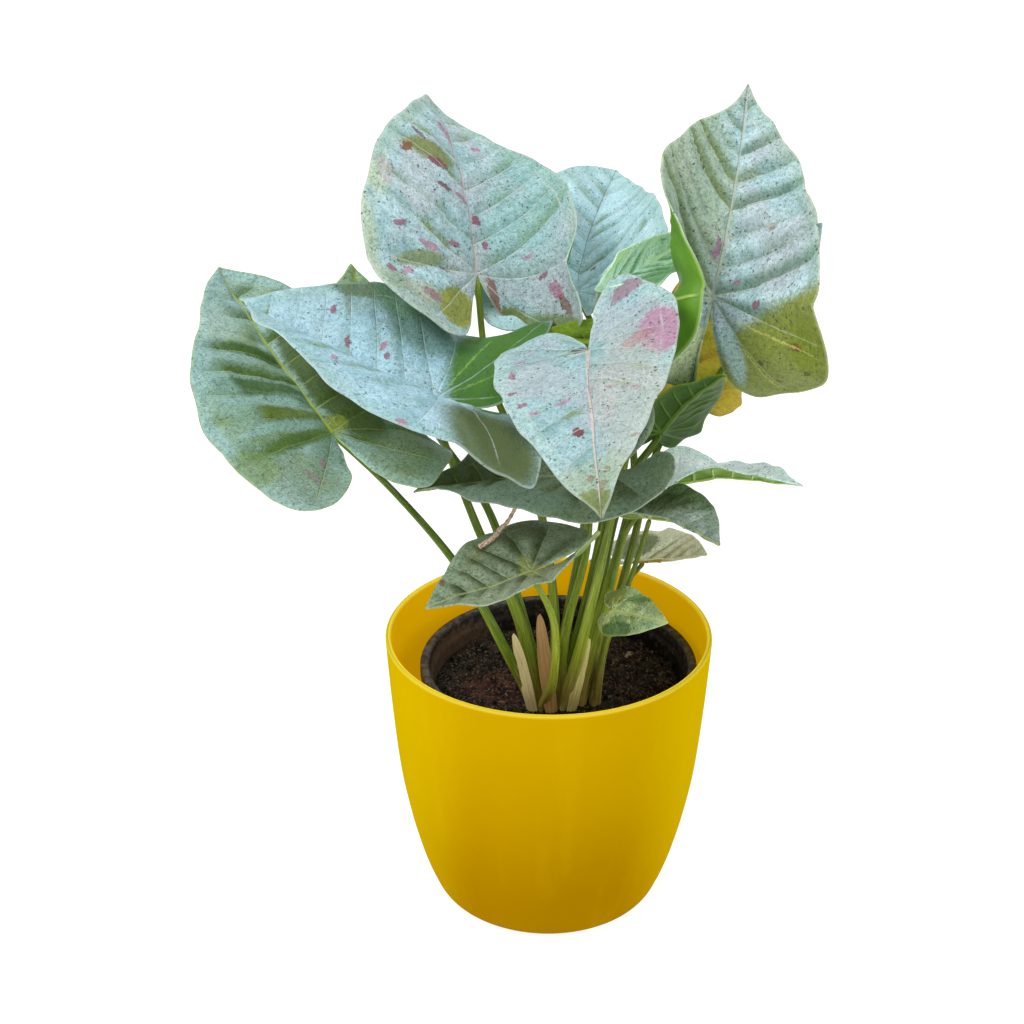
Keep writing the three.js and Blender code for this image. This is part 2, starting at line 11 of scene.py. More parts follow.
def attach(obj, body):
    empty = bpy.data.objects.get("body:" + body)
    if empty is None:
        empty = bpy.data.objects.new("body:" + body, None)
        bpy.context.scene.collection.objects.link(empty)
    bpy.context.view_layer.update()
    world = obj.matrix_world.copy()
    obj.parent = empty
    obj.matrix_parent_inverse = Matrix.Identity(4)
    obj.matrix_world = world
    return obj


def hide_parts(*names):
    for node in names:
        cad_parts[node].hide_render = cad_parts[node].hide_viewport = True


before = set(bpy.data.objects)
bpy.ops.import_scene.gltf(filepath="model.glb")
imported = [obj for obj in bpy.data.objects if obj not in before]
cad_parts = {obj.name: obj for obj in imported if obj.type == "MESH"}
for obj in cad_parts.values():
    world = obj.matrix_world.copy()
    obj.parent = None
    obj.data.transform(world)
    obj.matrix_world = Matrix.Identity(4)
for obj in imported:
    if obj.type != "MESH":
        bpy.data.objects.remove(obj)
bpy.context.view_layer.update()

# ---------------- camera, floor and light
# A plain pale floor under wide soft lamps, seen from in front and a little above, through a
# long lens. The planter stands on the floor.
scene = bpy.context.scene
scene.view_settings.view_transform = "Standard"
MM = 0.001

CAMERA_AT = Vector((-14.6, -631.3, 471.5)) * MM
CAMERA_DOWN = math.radians(25.6)
CAMERA_LENS, CAMERA_SENSOR = 63.7, 36
FLOOR_RADIUS, FLOOR_DROP, FLOOR_GLOW = 60.0, 0.3 * MM, 0.88
camera_data = bpy.data.cameras.new("camera")
camera_data.lens = CAMERA_LENS
camera_data.sensor_width = CAMERA_SENSOR
camera = bpy.data.objects.new("camera", camera_data)
camera.location = CAMERA_AT
camera.rotation_euler = (math.pi / 2 - CAMERA_DOWN, 0, 0)
scene.collection.objects.link(camera)
scene.camera = camera


class Signal:
    """One shader socket. Sums written with it become Math nodes."""

    def __init__(self, tree, output=None):
        self.tree = tree
        self.output = output

    def node(self, kind, settings=(), sockets=(), output=0):
        made = self.tree.nodes.new("ShaderNode" + kind)
        for name, value in dict(settings).items():
            setattr(made, name, value)
        for name, value in dict(sockets).items():
            if isinstance(value, Signal):
                self.tree.links.new(value.output, made.inputs[name])
            else:
                made.inputs[name].default_value = value
        return Signal(self.tree, made.outputs[output])

    def maths(self, operation, *values):
        return self.node("Math", {"operation": operation}, enumerate(values))

    def __add__(self, other):
        return self.maths("ADD", self, other)

    def __sub__(self, other):
        return self.maths("SUBTRACT", self, other)

    def __rsub__(self, other):
        return self.maths("SUBTRACT", other, self)

    def __mul__(self, other):
        return self.maths("MULTIPLY", self, other)

    def __truediv__(self, other):
        return self.maths("DIVIDE", self, other)

    def __rtruediv__(self, other):
        return self.maths("DIVIDE", other, self)

    def __abs__(self):
        return self.maths("ABSOLUTE", self)

    __radd__ = __add__
    __rmul__ = __mul__

    def step(self, start, end, low=0.0, high=1.0):
        """Goes smoothly from low at start to high at end."""
        return self.node(
            "MapRange",
            {"interpolation_type": "SMOOTHSTEP"},
            {"Value": self, "From Min": start, "From Max": end, "To Min": low, "To Max": high},
        )

    def tint(self, first, second):
        """The first colour where this is 0, the second where it is 1."""
        first, second = (paint(c) if isinstance(c, str) else c for c in (first, second))
        return self.node("Mix", {"data_type": "RGBA"}, {0: self, 6: first, 7: second}, 2)

    def layered(self, *layers):
        """This colour with others laid over it, each where its cover is 1."""
        hue = self
        for cover, colour in layers:
            hue = cover.tint(hue, colour)
        return hue

    def at_most(self, limit):
        return self.maths("MINIMUM", self, limit)

    def part(self, axis):
        return self.node("SeparateXYZ", (), {0: self}, axis)

    def parts(self):
        """The three numbers of this vector."""
        return [self.part(axis) for axis in range(3)]

    def joined(self, *numbers):
        """One vector from three numbers."""
        return self.node("CombineXYZ", (), enumerate(numbers))

    def places(self):
        """Where each point of the piece is, in metres."""
        return self.node("TexCoord", output=3)

    def noted(self, layer):
        """What the mesh's layer of this name notes at each point."""
        return self.node("Attribute", {"attribute_name": layer}, (), 1)

    def cloud(self, scale, detail=2.0, roughness=0.5):
        """Soft noise between 0 and 1 over the places that this gives."""
        sockets = {"Vector": self, "Scale": scale, "Detail": detail, "Roughness": roughness}
        return self.node("TexNoise", (), sockets)

    def length(self):
        """How long this vector is."""
        return self.node("VectorMath", {"operation": "LENGTH"}, {0: self}, 1)

    def moved(self, place=(0, 0, 0), turn=0.0, size=(1, 1, 1)):
        """These places measured from a new middle, turned about Z and divided by a size."""
        sockets = {"Location": place, "Rotation": (0, 0, turn), "Scale": size}
        return self.node("Mapping", {"vector_type": "TEXTURE"}, {"Vector": self, **sockets})


def paint(code):
    """A colour written as on a paint chart, as the light that it gives back."""
    parts = [int(code[i : i + 2], 16) / 255 for i in (1, 3, 5)]
    light = [p / 12.92 if p <= 0.04045 else ((p + 0.055) / 1.055) ** 2.4 for p in parts]
    return (*light, 1.0)


def finish(name, specular, glow=0.0, coat=0.0):
    """A new material, its main shader, and a place to start its maths from."""
    material = bpy.data.materials.new(name)
    material.use_nodes = True
    shader = material.node_tree.nodes["Principled BSDF"]
    shader.inputs["Specular IOR Level"].default_value = specular
    shader.inputs["Emission Strength"].default_value = glow
    shader.inputs["Coat Weight"].default_value = coat
    return material, shader, Signal(material.node_tree)


def wire(shader, **signals):
    """Leads signals to the shader's sockets, each named as base_color names Base Color."""
    for name, signal in signals.items():
        socket = shader.inputs[name.replace("_", " ").title()]
        signal.tree.links.new(signal.output, socket)


def dress(shader, hue, roughness, relief, depth, lit=False):
    """Gives a finish its colour, roughness and relief, depth in millimetres; lit, it glows too."""
    normal = relief.node("Bump", (), {"Height": relief, "Distance": depth * MM})
    wire(shader, base_color=hue, roughness=roughness, normal=normal)
    if lit:
        wire(shader, emission_color=hue)


floor_material, shader, start = finish("floor_paper", specular=0.1, glow=FLOOR_GLOW)
grain = start.places().cloud(60.0, 3.0)
wire(
    shader,
    base_color=grain.tint("#9c9c9b", "#a2a2a1"),
    roughness=grain * 0.1 + 0.8,
    emission_color=grain.tint("#fdfdfc", "#ffffff"),
)
floor_mesh = bmesh.new()
bmesh.ops.create_circle(floor_mesh, cap_ends=True, segments=64, radius=FLOOR_RADIUS)
floor_data = bpy.data.meshes.new("floor")
floor_mesh.to_mesh(floor_data)
floor_mesh.free()
floor_data.materials.append(floor_material)
floor = bpy.data.objects.new("floor", floor_data)
floor.location.z = -FLOOR_DROP
scene.collection.objects.link(floor)

# name, then in metres the place, aim and side of the square lamp, its power and its colour
LAMPS = [
    ("key_lamp", (-0.7, -0.6, 1.2), (0, 0, 0.18), 0.45, 12.0, (1.0, 0.985, 0.96)),
    ("right_lamp", (0.95, -0.35, 0.7), (0, 0, 0.16), 0.8, 3.6, (1.0, 0.98, 0.95)),
    ("top_lamp", (0.15, 0.35, 1.3), (0, 0, 0.2), 0.8, 5.0, (0.96, 0.98, 1.0)),
]
for name, place, aim, side, power, colour in LAMPS:
    lamp_data = bpy.data.lights.new(name, "AREA")
    lamp_data.size = side
    lamp_data.energy = power
    lamp_data.color = colour
    lamp = bpy.data.objects.new(name, lamp_data)
    lamp.location = place
    lamp.rotation_euler = (Vector(aim) - Vector(place)).to_track_quat("-Z", "Y").to_euler()
    scene.collection.objects.link(lamp)

# a studio that is white near the floor and dimmer overhead
world = bpy.data.worlds.new("studio")
world.use_nodes = True
backdrop = world.node_tree.nodes["Background"]
start = Signal(world.node_tree)
height = start.node("TexCoord", output=0).part(2)
sky = height.step(0.02, 0.4).tint((1.0, 1.0, 1.0, 1), (0.4, 0.42, 0.44, 1))
world.node_tree.links.new(sky.output, backdrop.inputs["Color"])
scene.world = world


def add_piece(name, mesh, materials, slot, *nodes):
    """Makes a finished mesh a piece of the plant that stands for CAD nodes."""
    data = bpy.data.meshes.new(name)
    mesh.to_mesh(data)
    mesh.free()
    for material in materials:
        data.materials.append(material)
    data.shade_smooth()
    made = bpy.data.objects.new(name, data)
    scene.collection.objects.link(made)
    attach(made, "root")
    if nodes:
        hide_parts(*nodes)
    return made


def turned(profile, steps):
    """A body turned about Z from its profile of (radius, height) points."""
    mesh = bmesh.new()
    points = [mesh.verts.new((r * MM, 0, z * MM)) for r, z in profile]
    edges = [mesh.edges.new(pair) for pair in zip(points, points[1:])]
    bmesh.ops.spin(
        mesh, geom=points + edges, axis=(0, 0, 1), cent=(0, 0, 0),
        angle=2 * math.pi, steps=steps, use_merge=True,
    )
    bmesh.ops.remove_doubles(mesh, verts=mesh.verts, dist=1e-6)
    bmesh.ops.recalc_face_normals(mesh, faces=mesh.faces)
    return mesh


def between(start, end, lean, other, t):
    """The place at t on a smooth curve from start to end, from its lean at each of the two."""
    bow = (2 * start - 2 * end + lean + other) * t**3
    return bow + (3 * end - 3 * start - 2 * lean - other) * t**2 + lean * t + start


def curve_point(points, share):
    """The point at a share of the smooth curve through evenly counted points."""
    last = len(points) - 1
    place = min(max(share, 0.0), 1.0) * last
    i = min(int(place), last - 1)
    a, b, c, d = (points[min(max(i + k, 0), last)] for k in (-1, 0, 1, 2))
    return between(b, c, (c - a) * 0.5, (d - b) * 0.5, place - i)


# ---------------- planter
# A round, slightly bellied planter, injection moulded in one piece of satin yellow plastic,
# with a thin rounded rim and an open top. It stands on its flat base.
PLANTER_WALL = 2.2
PLANTER_FLOOR = 3.0
PLANTER_OUTSIDE = [
    (41.5, 0), (46, 2.6), (48.6, 8), (51, 14.5), (53.6, 23.4),
    (56.9, 37.4), (60.5, 58.5), (63.2, 88), (65, 115.9),
]
PLANTER_CORNER = 2.5
PLANTER_STEPS, PLANTER_RISE, PLANTER_LIP = 144, 48, 8

outline = [Vector(p) for p in PLANTER_OUTSIDE]
outside = [curve_point(outline, i / PLANTER_RISE) for i in range(PLANTER_RISE + 1)]
rim_radius, rim_height = PLANTER_OUTSIDE[-1]
reach = PLANTER_WALL / 2
turns = [i / PLANTER_LIP * math.pi for i in range(1, PLANTER_LIP)]
lip = [(rim_radius - reach + reach * math.cos(t), rim_height + reach * math.sin(t)) for t in turns]
inside = [
    (p.x - PLANTER_WALL, p.y) for p in reversed(outside) if p.y > PLANTER_FLOOR + PLANTER_CORNER
]
floor_corner = [(inside[-1][0] - 1.2, PLANTER_FLOOR + 0.8), (inside[-1][0] - 3, PLANTER_FLOOR)]
profile = [(0, 0), *[(p.x, p.y) for p in outside], *lip, *inside, *floor_corner, (0, PLANTER_FLOOR)]


def yellow_plastic(name, top, shaded_low_hue, lit_side_hue, glow):
    """Faintly streaked satin yellow plastic, with painted shade low down and painted light at sides and rim.
    """
    material, shader, start = finish(name, specular=0.0, glow=glow)
    places = start.places()
    height = places.part(2) / MM
    broad = places.cloud(22.0, 3.0)
    streaks = places.moved(size=(0.05, 0.05, 1.0)).cloud(3.0, 4.0, 0.6)
    fine = places.cloud(1500.0, 2.0)
    scuff = places.moved(size=(1, 1, 0.15)).cloud(90.0, 5.0, 0.7).step(0.66, 0.78)
    # painted shade: the yellow deepens low down, where the wall faces the floor
    low = height.step(112, 12) + broad * 0.3 - 0.15
    dusty = height.step(12, 0) * places.cloud(140.0, 3.0).step(0.45, 0.7)
    hue = low.tint(top, shaded_low_hue).layered(
        # painted light: sharper yellow towards the sides, where light falls from left and right
        ((abs(places.part(0)) / MM).step(26, 62) * 0.8, lit_side_hue),
        (streaks.step(0.5, 0.75) * 0.06, "#e8c81a"),
        (scuff * 0.12, "#f2dc6a"),
        # a painted highlight along the top of the rim
        (height.step(115.4, 116.6) * 0.5, "#f4e04a"),
        (dusty * 0.35, "#8d7427"),
    )
    roughness = fine * 0.1 + broad * 0.1 + scuff * 0.12 + 0.34
    dress(shader, hue, roughness, fine * 0.3 + streaks * 0.1 + broad * 1.5, 0.05, lit=True)
    return material


outer_plastic = yellow_plastic("yellow_plastic", "#c29a00", "#a47800", "#cbab00", 0.0)
# the inside is a lighter copy of the yellow that also glows, as painted light
inner_plastic = yellow_plastic("yellow_plastic_inside", "#e6b000", "#dc9e00", "#e8b400", 0.42)
planter_mesh = turned(profile, PLANTER_STEPS)
for face in planter_mesh.faces:
    middle = face.calc_center_median()
    inwards = face.normal.x * middle.x + face.normal.y * middle.y < 0
    face.material_index = 1 if inwards and middle.z > PLANTER_FLOOR * MM else 0
add_piece("planter_shell", planter_mesh, [outer_plastic, inner_plastic], "planter", "planter")

# ---------------- nursery pot
# The grower's thin pot of matte black plastic, blow moulded with a rolled lip. It stands loose
# in the planter, a little to one side, and soil dust clings to it.
POT_CENTRE = 4.0
POT_FOOT = 3.3
POT_HEIGHT = 100.0
POT_WALL = 1.5
POT_BASE, POT_NECK, POT_LIP = 38.0, 52.6, 55.5
POT_LIP_HEIGHT = 5.0
POT_STEPS = 128


def pot_inside(height):
    """The pot's inner radius at a height above its foot."""
    slope = (POT_NECK - POT_BASE) / (POT_HEIGHT - POT_LIP_HEIGHT)
    return POT_BASE + slope * height - POT_WALL


neck = POT_HEIGHT - POT_LIP_HEIGHT
profile = [
    (0, 0), (POT_BASE - 1.2, 0), (POT_BASE - 0.3, 0.4), (POT_BASE, 1.3),
    *[(POT_BASE + (POT_NECK - POT_BASE) * i / 12, neck * i / 12) for i in range(1, 12)],
    (POT_NECK - 0.2, neck - 1), (POT_NECK + 0.3, neck - 0.1), (POT_LIP - 0.8, neck),
    (POT_LIP - 0.2, neck + 0.3), (POT_LIP, neck + 0.9), (POT_LIP, POT_HEIGHT - 0.9),
    (POT_LIP - 0.25, POT_HEIGHT - 0.25), (POT_LIP - 0.9, POT_HEIGHT),
    (POT_NECK + 0.4, POT_HEIGHT), (POT_NECK - 0.5, POT_HEIGHT - 0.4),
    *[(pot_inside(h), h) for h in (98.6, 96, 94.2)],
    (pot_inside(93.4) - 0.35, 93.4), (pot_inside(92.4) - 0.35, 92.4),
    *[(pot_inside(h), h) for h in (91.6, 80, 60, 40, 20, POT_WALL)],
    (0, POT_WALL),
]
pot_mesh = turned(profile, POT_STEPS)
bmesh.ops.translate(pot_mesh, verts=pot_mesh.verts, vec=Vector((POT_CENTRE, 0, POT_FOOT)) * MM)

pot_material, shader, start = finish("black_plastic", specular=0.35)
places = start.places()
height = places.part(2) / MM
dust_cloud = places.cloud(55.0, 5.0, 0.65)
crumbs = places.cloud(420.0, 4.0, 0.7)
left_side = places.part(0).step(0.0, -0.05)
below_lip = height.step(101.5, 99)
dust = dust_cloud + left_side * 0.58 + crumbs * 0.3 - 0.34 + height.step(103, 93) * 0.22
dust = dust.step(0.62, 0.9) * (below_lip * 0.8 + 0.2)
specks = (crumbs + dust * 0.12).step(0.54, 0.62)
# grey on top of the lip: partly rubbed wear, partly a painted highlight
rubbed_and_highlight = height.step(102.2, 103.6) * places.cloud(260.0, 3.0).step(0.42, 0.66)
hue = (dust * 0.7).tint("#1b1b1f", "#6a4e3a").layered(
    (specks * 0.65, "#6a5646"),
    (rubbed_and_highlight * 0.5, "#77777a"),
)
relief = crumbs + dust * 0.5 + height.maths("SINE", height * 2.6) * 0.15
dress(shader, hue, dust * 0.3 + crumbs * 0.15 + 0.42, relief, 0.12)
add_piece("grower_pot", pot_mesh, [pot_material], "nursery_pot", "nursery_pot")

# ---------------- soil
# Dark potting soil of peat and bark that fills the pot to a finger's width under its lip. It is
# lumpy, with a reddish mound on the left, loose crumbs, and a few pale chips.
SOIL_LEVEL = 92.0
SOIL_LUMP = 1.1
SOIL_GAP = 0.3
SOIL_RINGS, SOIL_STEPS = 44, 200
MOUND_AT, MOUND_HEIGHT, MOUND_SPREAD = (-21, -4), 4.0, 10.0
RED_HEIGHT, RED_SIZE = 94 * MM, (16 * MM, 14 * MM, 20 * MM)
CRUMBS, LARGE_SHARE, LARGE_CRUMB = 620, 0.16, 2.2
soil_radius = pot_inside(SOIL_LEVEL - POT_FOOT) - SOIL_GAP


def soil_relief(x, y):
    """How far the soil stands over its level at a place."""
    mound = MOUND_HEIGHT * math.exp(
        -((x - MOUND_AT[0]) ** 2 + (y - MOUND_AT[1]) ** 2) / MOUND_SPREAD**2
    )
    lumps = math.sin(x * 0.31 + 1) * math.cos(y * 0.27) + 0.6 * math.sin(x * 0.17 - y * 0.42)
    return mound + SOIL_LUMP * lumps


def soil_top(x, y):
    """The height of the soil's surface, with its crumbly texture."""
    inward = 1 - math.hypot(x - POT_CENTRE, y) / soil_radius
    edge = min(1.0, max(inward, 0.0) * 6)
    relief = soil_relief(x, y) * edge - max(0.0, 0.1 - inward) * 12
    rough = noise.fractal(Vector((x, y, 0)) * 0.22, 0.9, 2.0, 4) * 1.3
    clods = noise.cell(Vector((x, y, 0)) * 0.3) * 0.5
    return SOIL_LEVEL + relief + (rough + clods) * min(1.0, edge * 2)


profile = [(0, POT_WALL + SOIL_GAP), (pot_inside(2) - SOIL_GAP, POT_WALL + SOIL_GAP)]
for ring in range(SOIL_RINGS, -1, -1):
    profile.append((soil_radius * ring / SOIL_RINGS, SOIL_LEVEL - POT_FOOT))
soil_mesh = turned(profile, SOIL_STEPS)
bmesh.ops.translate(soil_mesh, verts=soil_mesh.verts, vec=Vector((POT_CENTRE, 0, POT_FOOT)) * MM)
for vert in soil_mesh.verts:
    if vert.co.z > (SOIL_LEVEL - 1) * MM:
        vert.co.z = soil_top(vert.co.x / MM, vert.co.y / MM) * MM

soil_material, shader, start = finish("potting_soil", specular=0.25)
places = start.places()
lumps = places.cloud(160.0, 6.0, 0.75)
grit = places.cloud(900.0, 4.0, 0.7)
fleck = places.node("TexVoronoi", (), {"Vector": places, "Scale": 620.0})
mound = places.moved((MOUND_AT[0] * MM, MOUND_AT[1] * MM, RED_HEIGHT), 0, RED_SIZE)
red = (mound.length() + lumps * 0.5).step(1.35, 0.85)
hue = lumps.step(0.42, 0.62).tint("#090605", "#44342b").layered(
    (red * 0.8, lumps.step(0.4, 0.62).tint("#26100d", "#6a3c31")),
    (grit.step(0.54, 0.63) * 0.85, "#8f7a68"),
    (grit.step(0.46, 0.36) * 0.6, "#060403"),
    (fleck.step(0.16, 0.08) * 0.3, "#8a7864"),
)
dress(shader, hue, grit * 0.2 + 0.72, lumps * 1.5 + grit * 0.7, 1.4)
add_piece("soil_bed", soil_mesh, [soil_material], "soil", "soil")

crumb_mesh = bmesh.new()
draw = Random(11)
for _ in range(CRUMBS):
    turn = draw.uniform(0, 2 * math.pi)
    out = soil_radius * math.sqrt(draw.uniform(0.0, 0.96))
    x, y = POT_CENTRE + out * math.cos(turn), out * math.sin(turn)
    size = draw.uniform(0.35, 0.9) * (LARGE_CRUMB if draw.random() < LARGE_SHARE else 1.0)
    made = bmesh.ops.create_icosphere(crumb_mesh, subdivisions=2, radius=size * MM)["verts"]
    spin_axis = Vector((draw.uniform(-1, 1), draw.uniform(-1, 1), draw.uniform(-1, 1)))
    shape = Matrix.Rotation(draw.uniform(0, 6), 3, spin_axis.normalized())
    stretch = Matrix.Diagonal((draw.uniform(0.7, 1.6), draw.uniform(0.6, 1.1), draw.uniform(0.5, 1)))
    seed = Vector((x, y, 0))
    for vert in made:
        lump = 1 + 0.35 * noise.noise(vert.co / MM * 1.3 + seed)
        vert.co = shape @ (stretch @ vert.co * lump)
        vert.co += Vector((x, y, soil_top(x, y) + size * 0.25)) * MM
add_piece("soil_crumbs", crumb_mesh, [soil_material], "soil")

# place, size, turn and colour of each loose chip
CHIPS = [
    ((34, 23), (2.6, 1.4, 0.8), 0.9, "#b9ab98"),
    ((38, 19), (1.4, 1.0, 0.7), 0.2, "#9a6a52"),
    ((43.5, 24), (1.2, 0.8, 0.6), 1.4, "#b0826c"),
    ((30.5, 14), (1.3, 0.7, 0.5), 2.1, "#8f7a66"),
    ((-30, -12), (1.5, 0.8, 0.6), 0.4, "#7a5a4a"),
    ((-12, 24), (1.7, 0.9, 0.6), 2.6, "#8a7766"),
]
for index, ((x, y), size, turn, colour) in enumerate(CHIPS):
    chip_mesh = bmesh.new()
    bmesh.ops.create_icosphere(chip_mesh, subdivisions=3, radius=1.0)
    for vert in chip_mesh.verts:
        lump = 1 + 0.3 * noise.noise(vert.co * 1.4 + Vector((index, 3, 7)))
        vert.co = Vector([c * s * lump for c, s in zip(vert.co, size)]) * MM
    bmesh.ops.rotate(chip_mesh, verts=chip_mesh.verts, matrix=Matrix.Rotation(turn, 3, "Z"))
    place = Vector((x, y, soil_top(x, y) + size[2] * 0.6)) * MM
    bmesh.ops.translate(chip_mesh, verts=chip_mesh.verts, vec=place)
    chip_material, shader, start = finish(f"chip_finish_{index}", specular=0.3)
    grain = start.places().cloud(900.0, 4.0, 0.7)
    hue = grain.step(0.4, 0.7).tint("#3d2f27", colour)
    dress(shader, hue, grain * 0.2 + 0.7, grain, 0.3)
    add_piece(f"chip_{index}", chip_mesh, [chip_material], "soil")

# ---------------- shoots
# Four shoots, each a short stem in the soil with fleshy leaf stalks growing out of it. A stalk
# is broad and sheathing at its foot, and thins to a round stem that runs up to its blade.
STALK_DEPTH = 12.0
# steps round and along a stem and a stalk, and between two points of a stalk's way
STEM_STEPS, STALK_STEPS, CURVE_STEPS = (24, 16), (20, 72), 24
STEM_TONE = (0.3, 0.6, 0.6)
SHEATHING = 0.46
TUBE_END = 0.8
# name, middle, radius and rise of the stem, radii of a stalk's foot and top, and the stalks:
# how light, how cream at the foot and how brown each is, and its way from foot to blade
SHOOTS = [
    ("shoot_left", (-4, -17), 3.6, 8, 2.9, 1.2, [
        ((0.15, 0.2, 0.0), [
            (-6.5, -16, 92), (-17, -25, 122), (-35, -21, 156), (-59, -10, 182), (-81, -16, 209),
        ]),
        ((0.35, 0.15, 0.0), [
            (-5, -18.5, 92), (-11, -9, 124), (-28, 6, 159), (-42, 8, 200), (-42, -36, 231),
        ]),
        ((0.85, 0.35, 0.0), [(-2.5, -19, 92), (1, -31, 112), (1, -39, 142), (-8, -46, 167)]),
        ((0.3, 0.1, 0.0), [(-3.5, -14.5, 92), (-12, -3, 130), (-24, 9, 166), (-45, 14, 198), (-62, 6, 235)]),
    ]),
    ("shoot_middle", (4.5, -16.5), 3.8, 9, 2.9, 1.2, [
        ((0.55, 0.2, 0.0), [(2, -17, 92), (2, -5, 131), (-6, 7, 177), (-23, 14, 219), (-28, 21, 258)]),
        ((0.6, 0.5, 0.1), [(6, -19, 92), (12, -28, 127), (21, -26, 172), (27, -28, 218), (12, -37, 249)]),
        ((0.45, 0.3, 0.0), [(3.5, -19, 92), (6, -18, 125), (14, -16, 162), (14, -24, 196)]),
        ((0.2, 0.1, 0.0), [(6.5, -14, 92), (15, -6, 127), (24, 8, 170), (25, 27, 212), (11, 48, 242)]),
        ((0.7, 0.1, 0.0), [(5, -13.5, 92), (14, -4, 127), (22, 7, 170), (25, 13, 212), (22, 12, 255)]),
        ((0.25, 0.1, 0.1), [(7, -15.5, 92), (13, -8, 119), (19, 0, 147), (27, 9, 173), (43, 10, 198)]),
        ((0.3, 0.1, 0.0), [(2.2, -13.5, 92), (8, -3, 127), (15, 8, 170), (18, 12, 205), (20, 4, 237)]),
    ]),
    ("shoot_right", (11.8, -13.6), 2.8, 7, 2.9, 1.2, [
        ((0.6, 0.2, 0.1), [(11, -15.5, 92), (19, -13, 127), (33, 14.5, 174), (32, 13, 216), (60, 10, 253)]),
        ((0.5, 0.1, 0.5), [(11, -12, 92), (24, -5, 122), (33, 7, 152), (41, 19, 183), (55, 30, 210)]),
        ((0.3, 0.1, 0.1), [(13, -12, 92), (20, 4, 132), (32, 18, 176), (60, 24, 208), (85, 38, 242)]),
        ((0.4, 0.3, 0.2), [(13.4, -14, 92), (19, -11, 117), (24, -7, 140), (31, 1, 163), (49, 2, 180)]),
    ]),
    ("shoot_small", (18.2, -14), 2.2, 5, 1.7, 0.9, [
        ((0.2, 0.4, 0.3), [(19, -15, 92), (22, -20, 122), (32, -13, 150), (37, -22, 177)]),
        ((0.3, 0.3, 0.8), [(18, -12.5, 92), (22, 0, 110), (28, 17, 123), (40, 34, 130)]),
        ((0.5, 0.7, 0.2), [(17.4, -15.4, 92), (20, -15, 109), (22, -18, 126), (24, -26, 140)]),
    ]),
]


def smooth(value, start, end):
    """Goes smoothly from 0 at start to 1 at end."""
    share = min(max((value - start) / (end - start), 0.0), 1.0)
    return share * share * (3 - 2 * share)


def sheet(mesh, columns, rows, place, *layers):
    """Adds a grid to a mesh. From (u, v), place gives a point's spot and then its notes."""
    for vert in bmesh.ops.create_grid(mesh, x_segments=columns, y_segments=rows, size=1)["verts"]:
        spot, *notes = place((vert.co.x + 1) / 2, (vert.co.y + 1) / 2)
        vert.co = spot * MM
        for layer, note in zip(layers, notes):
            vert[layer] = note


def noted_mesh(*names):
    """A new mesh, and its layers of these names for what is noted at each point."""
    mesh = bmesh.new()
    return mesh, [mesh.verts.layers.float_vector.new(name) for name in names]


def growing_curve(way, steps):
    """Evenly spaced points on the round-cornered curve through a stalk's way, and its length."""
    points = [Vector(p) for p in way]
    points = [2 * points[0] - points[1], *points, 2 * points[-1] - points[-2]]
    dense = []
    for before, start, end, after in zip(points, points[1:], points[2:], points[3:]):
        gaps = [math.sqrt((b - a).length) for a, b in ((before, start), (start, end), (end, after))]
        lean = (start - before) / gaps[0] - (end - before) / (gaps[0] + gaps[1])
        lean = (lean + (end - start) / gaps[1]) * gaps[1]
        other = (end - start) / gaps[1] - (after - start) / (gaps[1] + gaps[2])
        other = (other + (after - end) / gaps[2]) * gaps[1]
        for i in range(CURVE_STEPS):
            dense.append(between(start, end, lean, other, i / CURVE_STEPS))
    dense.append(points[-2])
    lengths = [0.0]
    for a, b in zip(dense, dense[1:]):
        lengths.append(lengths[-1] + (b - a).length)
    even, k = [], 0
    for i in range(steps + 1):
        goal = lengths[-1] * i / steps
        while k < len(dense) - 2 and lengths[k + 1] < goal:
            k += 1
        share = (goal - lengths[k]) / (lengths[k + 1] - lengths[k])
        even.append(dense[k].lerp(dense[k + 1], share))
    return even, lengths[-1]


def ring_frames(points, first_side):
    """Two directions across a curve at each of its points, turning with it and no more."""
    frames = []
    side = Vector(first_side)
    for i in range(len(points)):
        ahead = (points[min(i + 1, len(points) - 1)] - points[max(i - 1, 0)]).normalized()
        side = (side - ahead * side.dot(ahead)).normalized()
        frames.append((side, ahead.cross(side)))
    return frames


def stalk_tube(mesh, way, radius_at, first_side, steps, layers, tone):
    """A closed tube along a way; radius_at gives the radius from the share and the angle."""
    round_steps, long_steps = steps
    points, length = growing_curve(way, long_steps)
    frames = ring_frames(points, first_side)

    def place(u, v):
        i = round(v * long_steps)
        angle = 2 * math.pi * u
        side, other = frames[i]
        cap = 0.0 if i in (0, long_steps) else TUBE_END if i == long_steps - 1 else 1.0
        reach = radius_at(v, angle) * cap
        spot = points[i] + (side * math.cos(angle) + other * math.sin(angle)) * reach
        return spot, Vector((v * length, u, v)), Vector(tone)

    sheet(mesh, round_steps, long_steps, place, *layers)


def closed(mesh):
    """Sews a mesh's seams and poles, and turns its faces outwards."""
    bmesh.ops.remove_doubles(mesh, verts=mesh.verts, dist=2e-6)
    bmesh.ops.dissolve_degenerate(mesh, edges=mesh.edges, dist=1e-7)
    bmesh.ops.recalc_face_normals(mesh, faces=mesh.faces)
    return mesh


